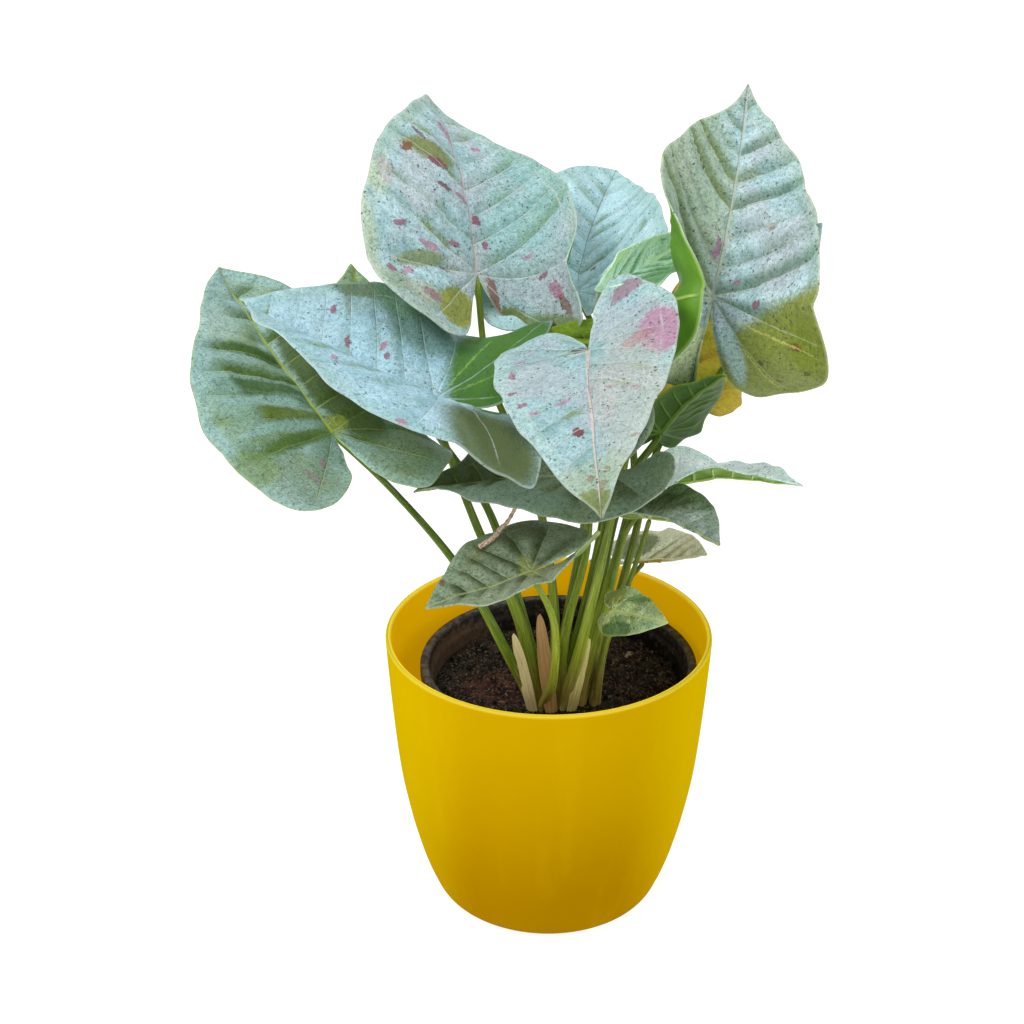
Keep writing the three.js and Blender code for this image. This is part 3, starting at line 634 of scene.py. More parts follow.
stalk_material, shader, start = finish("leaf_stalk", specular=0.16)
along, around, _ = start.noted("way").parts()
light, cream, brown = start.noted("kind").parts()
seed = light * 37 + brown * 11
streak = along.joined(along * 0.012 + seed, around * 9, seed).cloud(3.0, 4.0, 0.6)
fine = along.joined(along * 0.05, around * 40, seed).cloud(2.0, 3.0)
blotch = along.joined(along * 0.1, around * 2, seed).cloud(1.3, 3.0, 0.6)
foot = along.step(38, 15)
hue = (light * 0.8 + streak * 0.7 - 0.2).tint("#486e08", "#bcd044").layered(
    (brown * streak.step(0.3, 0.6), "#8c7a45"),
    ((along.step(46, 12) * cream * streak.step(0.35, 0.6) * 1.5).at_most(1.0), "#dcd9a8"),
    (foot * blotch.step(0.25, 0.55) * 0.85, "#a5843f"),
    # painted shade down the side of each stalk that faces into the clump
    (abs(around - 0.5).step(0.3, 0.16) * 0.42, "#3a5a06"),
    # painted shade on the upper stalks, under the leaves
    (along.step(48, 95) * along.step(168, 140, 0.35) * 0.6, "#2f4a0a"),
    (blotch.step(0.62, 0.74) * 0.35, "#6d5a33"),
    # fine pale streaks as painted highlights
    (fine.step(0.54, 0.68) * 0.6, "#d2df84"),
    (fine.step(0.46, 0.34) * 0.5, "#42641a"),
)
dress(shader, hue, fine * 0.12 + foot * 0.25 + 0.34, fine * 0.6 + streak, 0.25)

for name, (stem_x, stem_y), stem_radius, stem_rise, foot_radius, top_radius, stalks in SHOOTS:
    shoot_mesh, layers = noted_mesh("way", "kind")
    deep = SOIL_LEVEL - STALK_DEPTH
    stem_way = [(stem_x, stem_y, z) for z in (deep - 4, SOIL_LEVEL, SOIL_LEVEL + stem_rise)]

    def stem_radius_at(share, angle):
        ring = 1 + 0.05 * math.sin(share * 40) + 0.05 * math.sin(3 * angle + share * 5)
        return stem_radius * (1 - 0.4 * share) * ring

    stalk_tube(shoot_mesh, stem_way, stem_radius_at, (1, 0, 0), STEM_STEPS, layers, STEM_TONE)
    for tone, way_up in stalks:
        foot_x, foot_y = way_up[0][:2]
        rooted = [((foot_x + stem_x) / 2, (foot_y + stem_y) / 2, deep), *way_up]
        outwards = (foot_x - stem_x, foot_y - stem_y, 0.001)

        def stalk_radius_at(share, angle):
            plain = top_radius + (foot_radius - top_radius) * (1 - share) ** 2
            wing = smooth(share, SHEATHING, 0.12)
            from_back = math.remainder(angle - math.pi, 2 * math.pi)
            groove = 0.16 * wing * math.exp(-((from_back / 0.5) ** 2))
            flare = 1 + 0.16 * smooth(share, 0.93, 1.0)
            ripple = 1 + 0.03 * math.sin(angle * 5 + share * 9)
            return plain * (1 - 0.22 * wing * math.cos(2 * angle) - groove) * ripple * flare

        stalk_tube(shoot_mesh, rooted, stalk_radius_at, outwards, STALK_STEPS, layers, tone)
    add_piece(f"{name}_stalks", closed(shoot_mesh), [stalk_material], "stalk", name)

# ---------------- leaves
# Thin arrow-shaped blades, each grown in one with its stalk at the notch between its two lobes.
# The upper face is silvery with darker specks, the lower face plain green with raised veins.
# Each blade is drawn flat and then bent; its lengths are from the notch, its pairs left, right.
BLADE_THICKNESS = 0.55
# a leaf longer than this is large; its steps round a lobe and a tip, and its finer steps and rows
LARGE_LEAF, LARGE_STEPS, SMALL_STEPS = 50, (7, 7, 9, 44), (6, 5, 7, 28)
VEIN_FAN = 0.56
# every lower face glows at least this much with its own colour, as painted light
BACK_GLOW = 0.04


def bent(length, angle, bend):
    """How far an arc runs and rises over its length, from its first angle and its bend."""
    if abs(bend) < 1e-6:
        return length * math.cos(angle), length * math.sin(angle)
    turned_to = angle + bend * length
    run = (math.sin(turned_to) - math.sin(angle)) / bend
    return run, (math.cos(angle) - math.cos(turned_to)) / bend


def blade_directions(leaf):
    """A leaf's own directions: along the midrib, to its right, and out of the upper face."""
    azimuth, rise, roll = (math.radians(leaf[key]) for key in ("azimuth", "rise", "roll"))
    level = Vector((math.cos(azimuth), math.sin(azimuth), 0))
    along = level * math.cos(rise) + Vector((0, 0, math.sin(rise)))
    up = level * -math.sin(rise) + Vector((0, 0, math.cos(rise)))
    across = along.cross(up)
    return (
        along,
        across * math.cos(roll) + up * math.sin(roll),
        up * math.cos(roll) - across * math.sin(roll),
    )


def blade_spot(leaf, directions, x, y, wave, relief):
    """The place in space of a point of the flat blade, with relief along its normal."""
    side = 0 if x < 0 else 1
    along, across, up = directions
    reach = leaf["length"] if y >= 0 else leaf["lobe"][side]
    bend = math.radians(leaf["arch"] if y >= 0 else leaf["heel"])
    run, drop = bent(abs(y), 0, bend / reach)
    sway = math.radians(leaf["sway"]) * max(y, 0) / leaf["length"]
    tilt = bend * y / reach
    ahead = along * math.cos(tilt) - up * math.sin(tilt)
    above = up * math.cos(tilt) + along * math.sin(tilt)
    aside = across * math.cos(sway) - ahead * math.sin(sway)
    fold = math.radians(leaf["fold"][side] + leaf["lift"][side] * max(0, -y / reach))
    near_joint = (1 - min(max(y / leaf["length"], 0), 1)) ** 2
    curl = math.radians(leaf["curl"][side] + leaf["cup"][side] * near_joint) / leaf["half"][side]
    width, height = bent(abs(x), fold, curl)
    turned_by = fold + curl * abs(x)
    outward = -1 if side == 0 else 1
    normal = above * math.cos(turned_by) - aside * (outward * math.sin(turned_by))
    spot = Vector(leaf["at"]) + along * math.copysign(run, y) - up * drop
    spot += across * (max(y, 0) * math.sin(sway / 2)) + aside * (outward * width)
    return spot + above * (height + wave) + normal * relief


def margin_at(leaf, step, lobe_steps, tip_steps):
    """A point of the flat margin: steps run from the notch, round by the tip, to the notch."""
    whole = lobe_steps + tip_steps
    side = 0 if step < whole else 1
    k = step if step < whole else 2 * whole - step
    half, lobe, spread = leaf["half"][side], leaf["lobe"][side], leaf["spread"][side]
    notch = leaf.get("notch", 0)
    if k <= lobe_steps:
        corners = [
            (0, 0), (0.1 * spread - 0.5 * notch, -0.3), (0.34 * spread - notch, -0.72),
            (0.68 * spread, -0.97), (spread, -0.97), (0.52 * (spread + 1), -0.68), (0.99, -0.32),
            (1, 0),
        ]
        spot = curve_point([Vector(c) for c in corners], k / lobe_steps)
        x, y = spot.x * half, spot.y * lobe
    else:
        t = (k - lobe_steps) / tip_steps
        drip = leaf.get("drip", 0) * max(0.0, (t - 0.93) / 0.07) ** 2
        x, y = half * max(1 - t ** leaf["full"][side], 0) ** 1.05, leaf["length"] * t + drip
    return Vector((-x if side == 0 else x, y))


def vein_phase(x, y, half, slope, pitch):
    """Counts the side veins past a flat point, and gives the millimetres from one to the next."""
    reach = abs(x)
    lowered = y - 0.35 * slope * reach * reach / half
    started = lowered - slope * reach
    if started >= 0:
        return started / pitch, pitch / math.hypot(1, slope)
    turn = math.atan2(reach, lowered) - math.atan2(1, slope)
    return -turn / VEIN_FAN, math.hypot(reach, lowered) * VEIN_FAN


def blade_mesh(leaf):
    """A leaf's blade as one fine sheet, with its flat place and its veins noted on it."""
    mesh, layers = noted_mesh("flat", "veins")
    large = leaf["length"] > LARGE_LEAF
    lobe_steps, tip_steps, fine, rows = LARGE_STEPS if large else SMALL_STEPS
    whole = lobe_steps + tip_steps
    wave_height, wave_count = leaf["wave"]
    directions = blade_directions(leaf)
    slopes = leaf["slope"] if isinstance(leaf["slope"], tuple) else (leaf["slope"], leaf["slope"])
    first, last = 0.5, 2 * whole - 0.5
    columns = round((last - first) * fine)
    seed = leaf["at"][0] * 1.7

    def place(u, v):
        step = first + (last - first) * u
        rim = margin_at(leaf, step, lobe_steps, tip_steps)
        ahead = margin_at(leaf, min(step + 0.1, last), lobe_steps, tip_steps)
        behind = margin_at(leaf, max(step - 0.1, first), lobe_steps, tip_steps)
        way = (ahead - behind).normalized()
        edge = abs(rim.x * way.y - rim.y * way.x) * (1 - v)
        uneven = 1 + 0.035 * noise.noise(Vector((step * 1.1, seed, 9))) * v**4
        x, y = rim.x * v * uneven, rim.y * v * uneven
        side = 0 if x < 0 else 1
        phase, gap = vein_phase(x, y, leaf["half"][side], slopes[side], leaf["pitch"])
        out = math.hypot(x, y)
        fade = smooth(edge, 0.8, 7) * smooth(out, 5, 18) * smooth(abs(x), 0.3, 4)
        past = phase - math.floor(phase)
        ridge = math.sin(math.pi / 2 * min(past / 0.34, (1 - past) / 0.66)) - 0.6
        lot = Vector((math.floor(phase) * 3.7, seed, math.copysign(1, x)))
        relief = leaf["pleat"] * (0.75 + 0.5 * noise.noise(lot)) * ridge * fade
        relief -= 0.5 * math.exp(-((x / 1.1) ** 2)) * smooth(y, -3, 4) * smooth(edge, 0, 5)
        relief -= 0.15 * math.exp(-((edge - 4.6) ** 2)) * smooth(out, 12, 24)
        pucker = noise.noise(Vector((x * 0.06 + seed, y * 0.06, 2))) * 1.6
        pucker += noise.noise(Vector((x * 0.16 + seed, y * 0.16, 5))) * 0.6
        relief += pucker * smooth(out, 2, 14)
        relief += noise.noise(Vector((step * 0.8, seed, 0))) * 1.5 * v**5
        wave = wave_height * v**3 * math.sin(2 * math.pi * wave_count * (step - 1) / (2 * whole - 2))
        spot = blade_spot(leaf, directions, x, y, wave, relief)
        return spot, Vector((x, y, edge)), Vector((phase, gap, out))

    sheet(mesh, columns, rows, place, *layers)
    bmesh.ops.remove_doubles(mesh, verts=mesh.verts, dist=1e-6)
    return mesh


def leaf_face(name, seed, look, marks):
    """The upper face: silver bloom, green past the veins, painted shade in creases, specks and marks."""
    material, shader, start = finish(name, 0.2, look["glow"], look["gloss"])
    warm, band, vein, specks, flecks = (look[k] for k in ("warm", "band", "vein", "specks", "flecks"))
    rib_hue, rib_share, rib_core_shade_hue = look["rib"]
    flat = start.noted("flat")
    x, y, edge = flat.parts()
    phase, gap, out = start.noted("veins").parts()
    plane = flat.moved(size=(1, 1, 1000))
    own = flat.moved((seed * 131.0, seed * 57.0, 0), size=(1, 1, 1000))
    wander = own.node("TexNoise", (), {"Vector": own, "Scale": 0.8, "Detail": 2.0}, 1)
    strayed, own_strayed = (
        spot.node("VectorMath", {"operation": "MULTIPLY_ADD"}, {0: wander, 1: (2.2, 2.2, 0), 2: spot})
        for spot in (plane, own)
    )
    broad = own.cloud(0.05, 3.0, 0.55)
    clouds = own.moved((31, 17, 0)).cloud(0.12, 3.0, 0.6)
    drift = own.moved((-20, 11, 0)).cloud(0.035, 2.0, 0.5)
    mottle = own_strayed.cloud(0.55, 3.0, 0.7)
    grain = own.cloud(1.3, 4.0, 0.8)
    grit = own.cloud(2.7, 3.0, 0.8)
    bloom = grain * 0.42 + mottle * 0.33 + grit * 0.25
    past = phase.maths("FRACT", phase)
    from_middle = abs(past - 0.5)
    valley = from_middle.step(0.25, 0.5)
    lot = phase.maths("FLOOR", phase) * 0.37 + x.maths("SIGN", x) * 5.3 + seed * 1.7
    lot = lot.node("TexWhiteNoise", {"noise_dimensions": "1D"}, {"W": lot})
    # painted shade in the crease just past each side vein, stronger on some veins than others
    shade = past.step(0.62, 0.02) * past.step(0.0, 0.05) * lot.step(-0.1, 0.8)
    faint = clouds.step(0.3, 0.6) * 0.75 + 0.25
    vein_width = 3.6 / (out + 9) + 0.2
    line = ((0.5 - from_middle) * gap / vein_width).step(1.4, 0.3) * edge.step(2, 8) * faint
    collector = abs(edge - 3.2 - drift * 4 - clouds).step(0.7, 0.1) * out.step(14, 26)
    collector = collector * broad.step(0.4, 0.62) * y.step(-14, -2)
    rib_line = (abs(x) / (1.15 - y * 0.0095)).step(1.15, 0.5) * y.step(-1.5, 0.5)
    # a dark line along the midrib, set on its shadow side: partly the rib's own line, partly painted shade
    rib_core_shade = abs(x + 0.4).step(0.3, 0.1) * y.step(1, 9)
    low = 0.6 - look["zones"] * 0.3
    # green past the veins, laid partly as painted shade in the pleat valleys
    zone = (shade * 0.9 + valley * lot * 0.45) * broad.step(low, low + 0.12) * edge.step(2.5, 9)
    # the paler haze, at random and as painted reflection on the crests away from the crease shade
    hue = (clouds.step(0.35, 0.65) * 0.6 + (1 - shade) * 0.35).tint(look["silver"], look["haze"])
    hue = hue.layered(
        (drift.step(0.47, 0.6) * warm[1], warm[0]),
        # painted shade in the creases
        (shade * look["crease"] * (1.1 - valley * 0.3), look["grain"]),
        ((zone * (bloom.step(0.62, 0.4) * 0.6 + 0.5)).at_most(0.92), look["green"]),
        (edge.step(8, 2.5) * band[1] * (mottle * 1.2 + 0.2), band[0]),
    )
    for mx, my, wide, high, turn, colour, strength, *creases in marks:
        spot = strayed.moved((mx + 1.1, my + 1.1, 0), math.radians(turn), (wide, high, 1))
        largest = max(wide, high)
        soft = 0.14 if strength > 0.94 or (strength > 0.7 and largest < 12) else 0.32
        ragged = ((mottle - 0.5) + (grain - 0.5) * 0.5) * min(1.1, 5 / largest)
        cover = (spot.length() + ragged).step(1 + soft, 1 - soft) * strength
        # a mark that lies in the creases follows the painted crease shade and deepens it
        hue = (cover * (shade * 0.75 + 0.25) if creases else cover).tint(hue, colour)
    hue = (bloom.step(0.5, 0.41) * flecks * 0.45).tint(hue, look["grain"])
    glint = bloom.step(0.41, 0.59, 1 - flecks * 0.34, 1 + flecks * 0.3)
    hue = hue.node("VectorMath", {"operation": "SCALE"}, {0: hue, "Scale": glint}).layered(
        (line.maths("MAXIMUM", line, collector * 0.6) * vein[1], vein[0]),
        (edge.step(1.0, 0.3) * 0.35, vein[0]),
        (rib_line * rib_share, rib_hue),
    )
    if rib_core_shade_hue:
        hue = (rib_core_shade * 0.55).tint(hue, rib_core_shade_hue)
    for density, rarity, size in ((0.62, 0.6, 0.3), (1.2, 0.5, 0.24)):
        cells = {"Vector": own_strayed, "Scale": density}
        dots = own.node("TexVoronoi", (), cells)
        pick = own.node("TexVoronoi", (), cells, 1).part(0)
        shown = (pick + (clouds - 0.5) * 1.4).step(rarity, rarity + 0.1)
        hue = (dots.step(size, size * 0.55) * shown * specks[1]).tint(hue, specks[0])
    relief = grain * 0.5 + mottle * 1.1 + clouds * 1.5 - line * 0.4 + rib_line * 0.3 - collector * 0.2
    dress(shader, hue, grain * 0.2 + mottle * 0.2 + look["rough"], relief, 0.7, lit=True)
    return material


def leaf_back(name, look):
    """The lower face: plain green and duller, with raised veins."""
    material, shader, start = finish(name, 0.3, max(look["glow"], BACK_GLOW))
    green = paint(look["under"])[:3]
    plain, deep, dark = ([*(c * share for c in green), 1] for share in (1, 0.72, 0.55))
    flat = start.noted("flat")
    x, y, edge = flat.parts()
    phase, gap, out = start.noted("veins").parts()
    plane = flat.moved(size=(1, 1, 1000))
    clouds, grain = plane.cloud(0.08, 3.0, 0.6), plane.cloud(1.0, 4.0, 0.7)
    from_middle = abs(phase.maths("FRACT", phase) - 0.5)
    line = ((0.5 - from_middle) * gap / (6 / (out + 9) + 0.35)).step(1.3, 0.4) * edge.step(1, 5)
    rib_line = (abs(x) / (1.5 - y * 0.011)).step(1.15, 0.5) * y.step(-1.5, 0.5)
    ribs = line.maths("MAXIMUM", line, rib_line)
    hue = clouds.step(0.3, 0.7).tint(plain, deep).layered(
        (grain.step(0.45, 0.65) * 0.25, dark),
        (ribs * 0.8, look["under_vein"]),
        (edge.step(1.6, 0.4) * 0.5, look["under_vein"]),
    )
    dress(shader, hue, grain * 0.15 + 0.42, ribs * 2 + grain * 0.4, 0.3, lit=True)
    return material


def thickened(piece, thickness):
    """Gives a sheet its thickness, half of it on each side."""
    wall = piece.modifiers.new("thickness", "SOLIDIFY")
    wall.thickness = thickness * MM
    wall.offset = 0
    return wall


# What each kind of blade looks like: its silver, the paler haze over it (at random, and on the
# crests as painted reflection), the green past its veins (partly painted shade in the pleat
# valleys) and how much of that there is, a warm drift over it, how strong the painted shade in its
# creases and its flecks are, the tone of its grain and of that shade, its specks, veins, rib and
# rim, its lower face and the veins there, how much it glows with its own colour as painted light
# in place of light shining through it, its gloss, its roughness, and its material slot.
KIND_KEYS = (
    "silver haze green zones warm crease flecks grain specks vein rib band under under_vein glow "
    "gloss rough slot"
).split()
KINDS = {
    "silver": (
        "#8eb4b9", "#b9d5dc", "#7b9150", 0.5, ("#bdbcc4", 0.5), 0.3, 0.8, "#678a78", ("#33463f", 0.82),
        ("#d3dcd0", 0.6), ("#d8c8c0", 0.75, "#5f4050"), ("#98b084", 0.5), "#629326", "#a2c25c", 0, 0,
        0.36, "blade",
    ),
    "blue": (
        "#90b9c8", "#b0d4e1", "#7fa084", 0.4, ("#a9c0c9", 0.4), 0.3, 0.68, "#688f8c", ("#34504f", 0.7),
        ("#c9dcd8", 0.45), ("#afc2c2", 0.55, "#36434a"), ("#93b8a8", 0.45), "#7fa942", "#b9d67c", 0, 0,
        0.36, "blade",
    ),
    "leafy": (
        "#7ea094", "#a3c2c2", "#4f6b24", 1.15, ("#869e5c", 0.6), 0.6, 0.72, "#4f6d3a", ("#2b4226", 0.6),
        ("#b0c078", 0.55), ("#a3b24c", 0.8, None), ("#93b6a6", 0.6), "#729c35", "#b6cc68", 0, 0, 0.36,
        "blade",
    ),
    "shaded": (
        "#7b8c76", "#9fb09c", "#565f2c", 0.9, ("#858a5c", 0.5), 0.5, 0.78, "#45532f", ("#27381f", 0.55),
        ("#a9b795", 0.4), ("#b3bd85", 0.7, None), ("#94aa94", 0.6), "#77913f", "#b0bf7a", 0, 0, 0.36,
        "shaded_blade",
    ),
    "pale": (
        "#c9cca6", "#e6e6cf", "#7d8440", 0.8, ("#c9b990", 0.5), 0.5, 0.6, "#77805a", ("#4d5533", 0.45),
        ("#c9c9a2", 0.4), ("#c5c184", 0.7, None), ("#bdb890", 0.5), "#a39a3c", "#c9c27a", 0.14, 0, 0.36,
        "shaded_blade",
    ),
    # The dark kind is a shaded copy: its deep greens are painted shade for leaves deep in the plant.
    "dark": (
        "#43600a", "#54740f", "#2b400c", 0.7, ("#5f7a1c", 0.5), 0.5, 0.4, "#243810", ("#1b2c0b", 0.35),
        ("#7f9a30", 0.5), ("#93ab3a", 0.8, None), ("#8aa82c", 0.8), "#3f5f14", "#5f7d28", 0, 0, 0.36,
        "shaded_blade",
    ),
    "fresh": (
        "#bed68a", "#e4ecc4", "#457a2c", 0.7, ("#c3cf6a", 0.6), 0.4, 0.9, "#3f7030", ("#1f451c", 0.75),
        ("#d6dd8c", 0.8), ("#cddb8c", 0.8, None), ("#6a9a50", 0.5), "#85ad44", "#c0d680", 0.1, 0.35,
        0.18, "young_blade",
    ),
    # The glossy kind's pale lower face and strong glow are painted light on its rolled, shaded blade.
    "glossy": (
        "#b6dcc4", "#d2eadc", "#5a945f", 0.7, ("#9fc584", 0.5), 0.35, 0.6, "#568a68", ("#2f5f3c", 0.4),
        ("#bfe0c0", 0.4), ("#c3dfb0", 0.8, None), ("#a3cc9a", 0.5), "#9ac6b2", "#b4d6b4", 0.4, 0.35,
        0.16, "young_blade",
    ),
    "olive": (
        "#a39a24", "#b8ac34", "#80791a", 0.6, ("#c49a30", 0.5), 0.4, 0.4, "#756816", ("#5c4514", 0.6),
        ("#b0702c", 0.6), ("#a8622a", 0.8, None), ("#c0b448", 0.5), "#9c962c", "#b97f3a", 0.15, 0, 0.36,
        "yellow_blade",
    ),
}
KINDS = {kind: dict(zip(KIND_KEYS, row)) for kind, row in KINDS.items()}
PINK, ROSE, PLUM, RUST, OLIVE, MOSS = "#ae849a", "#915a72", "#6f404c", "#7d4c2c", "#7b8440", "#6d9060"
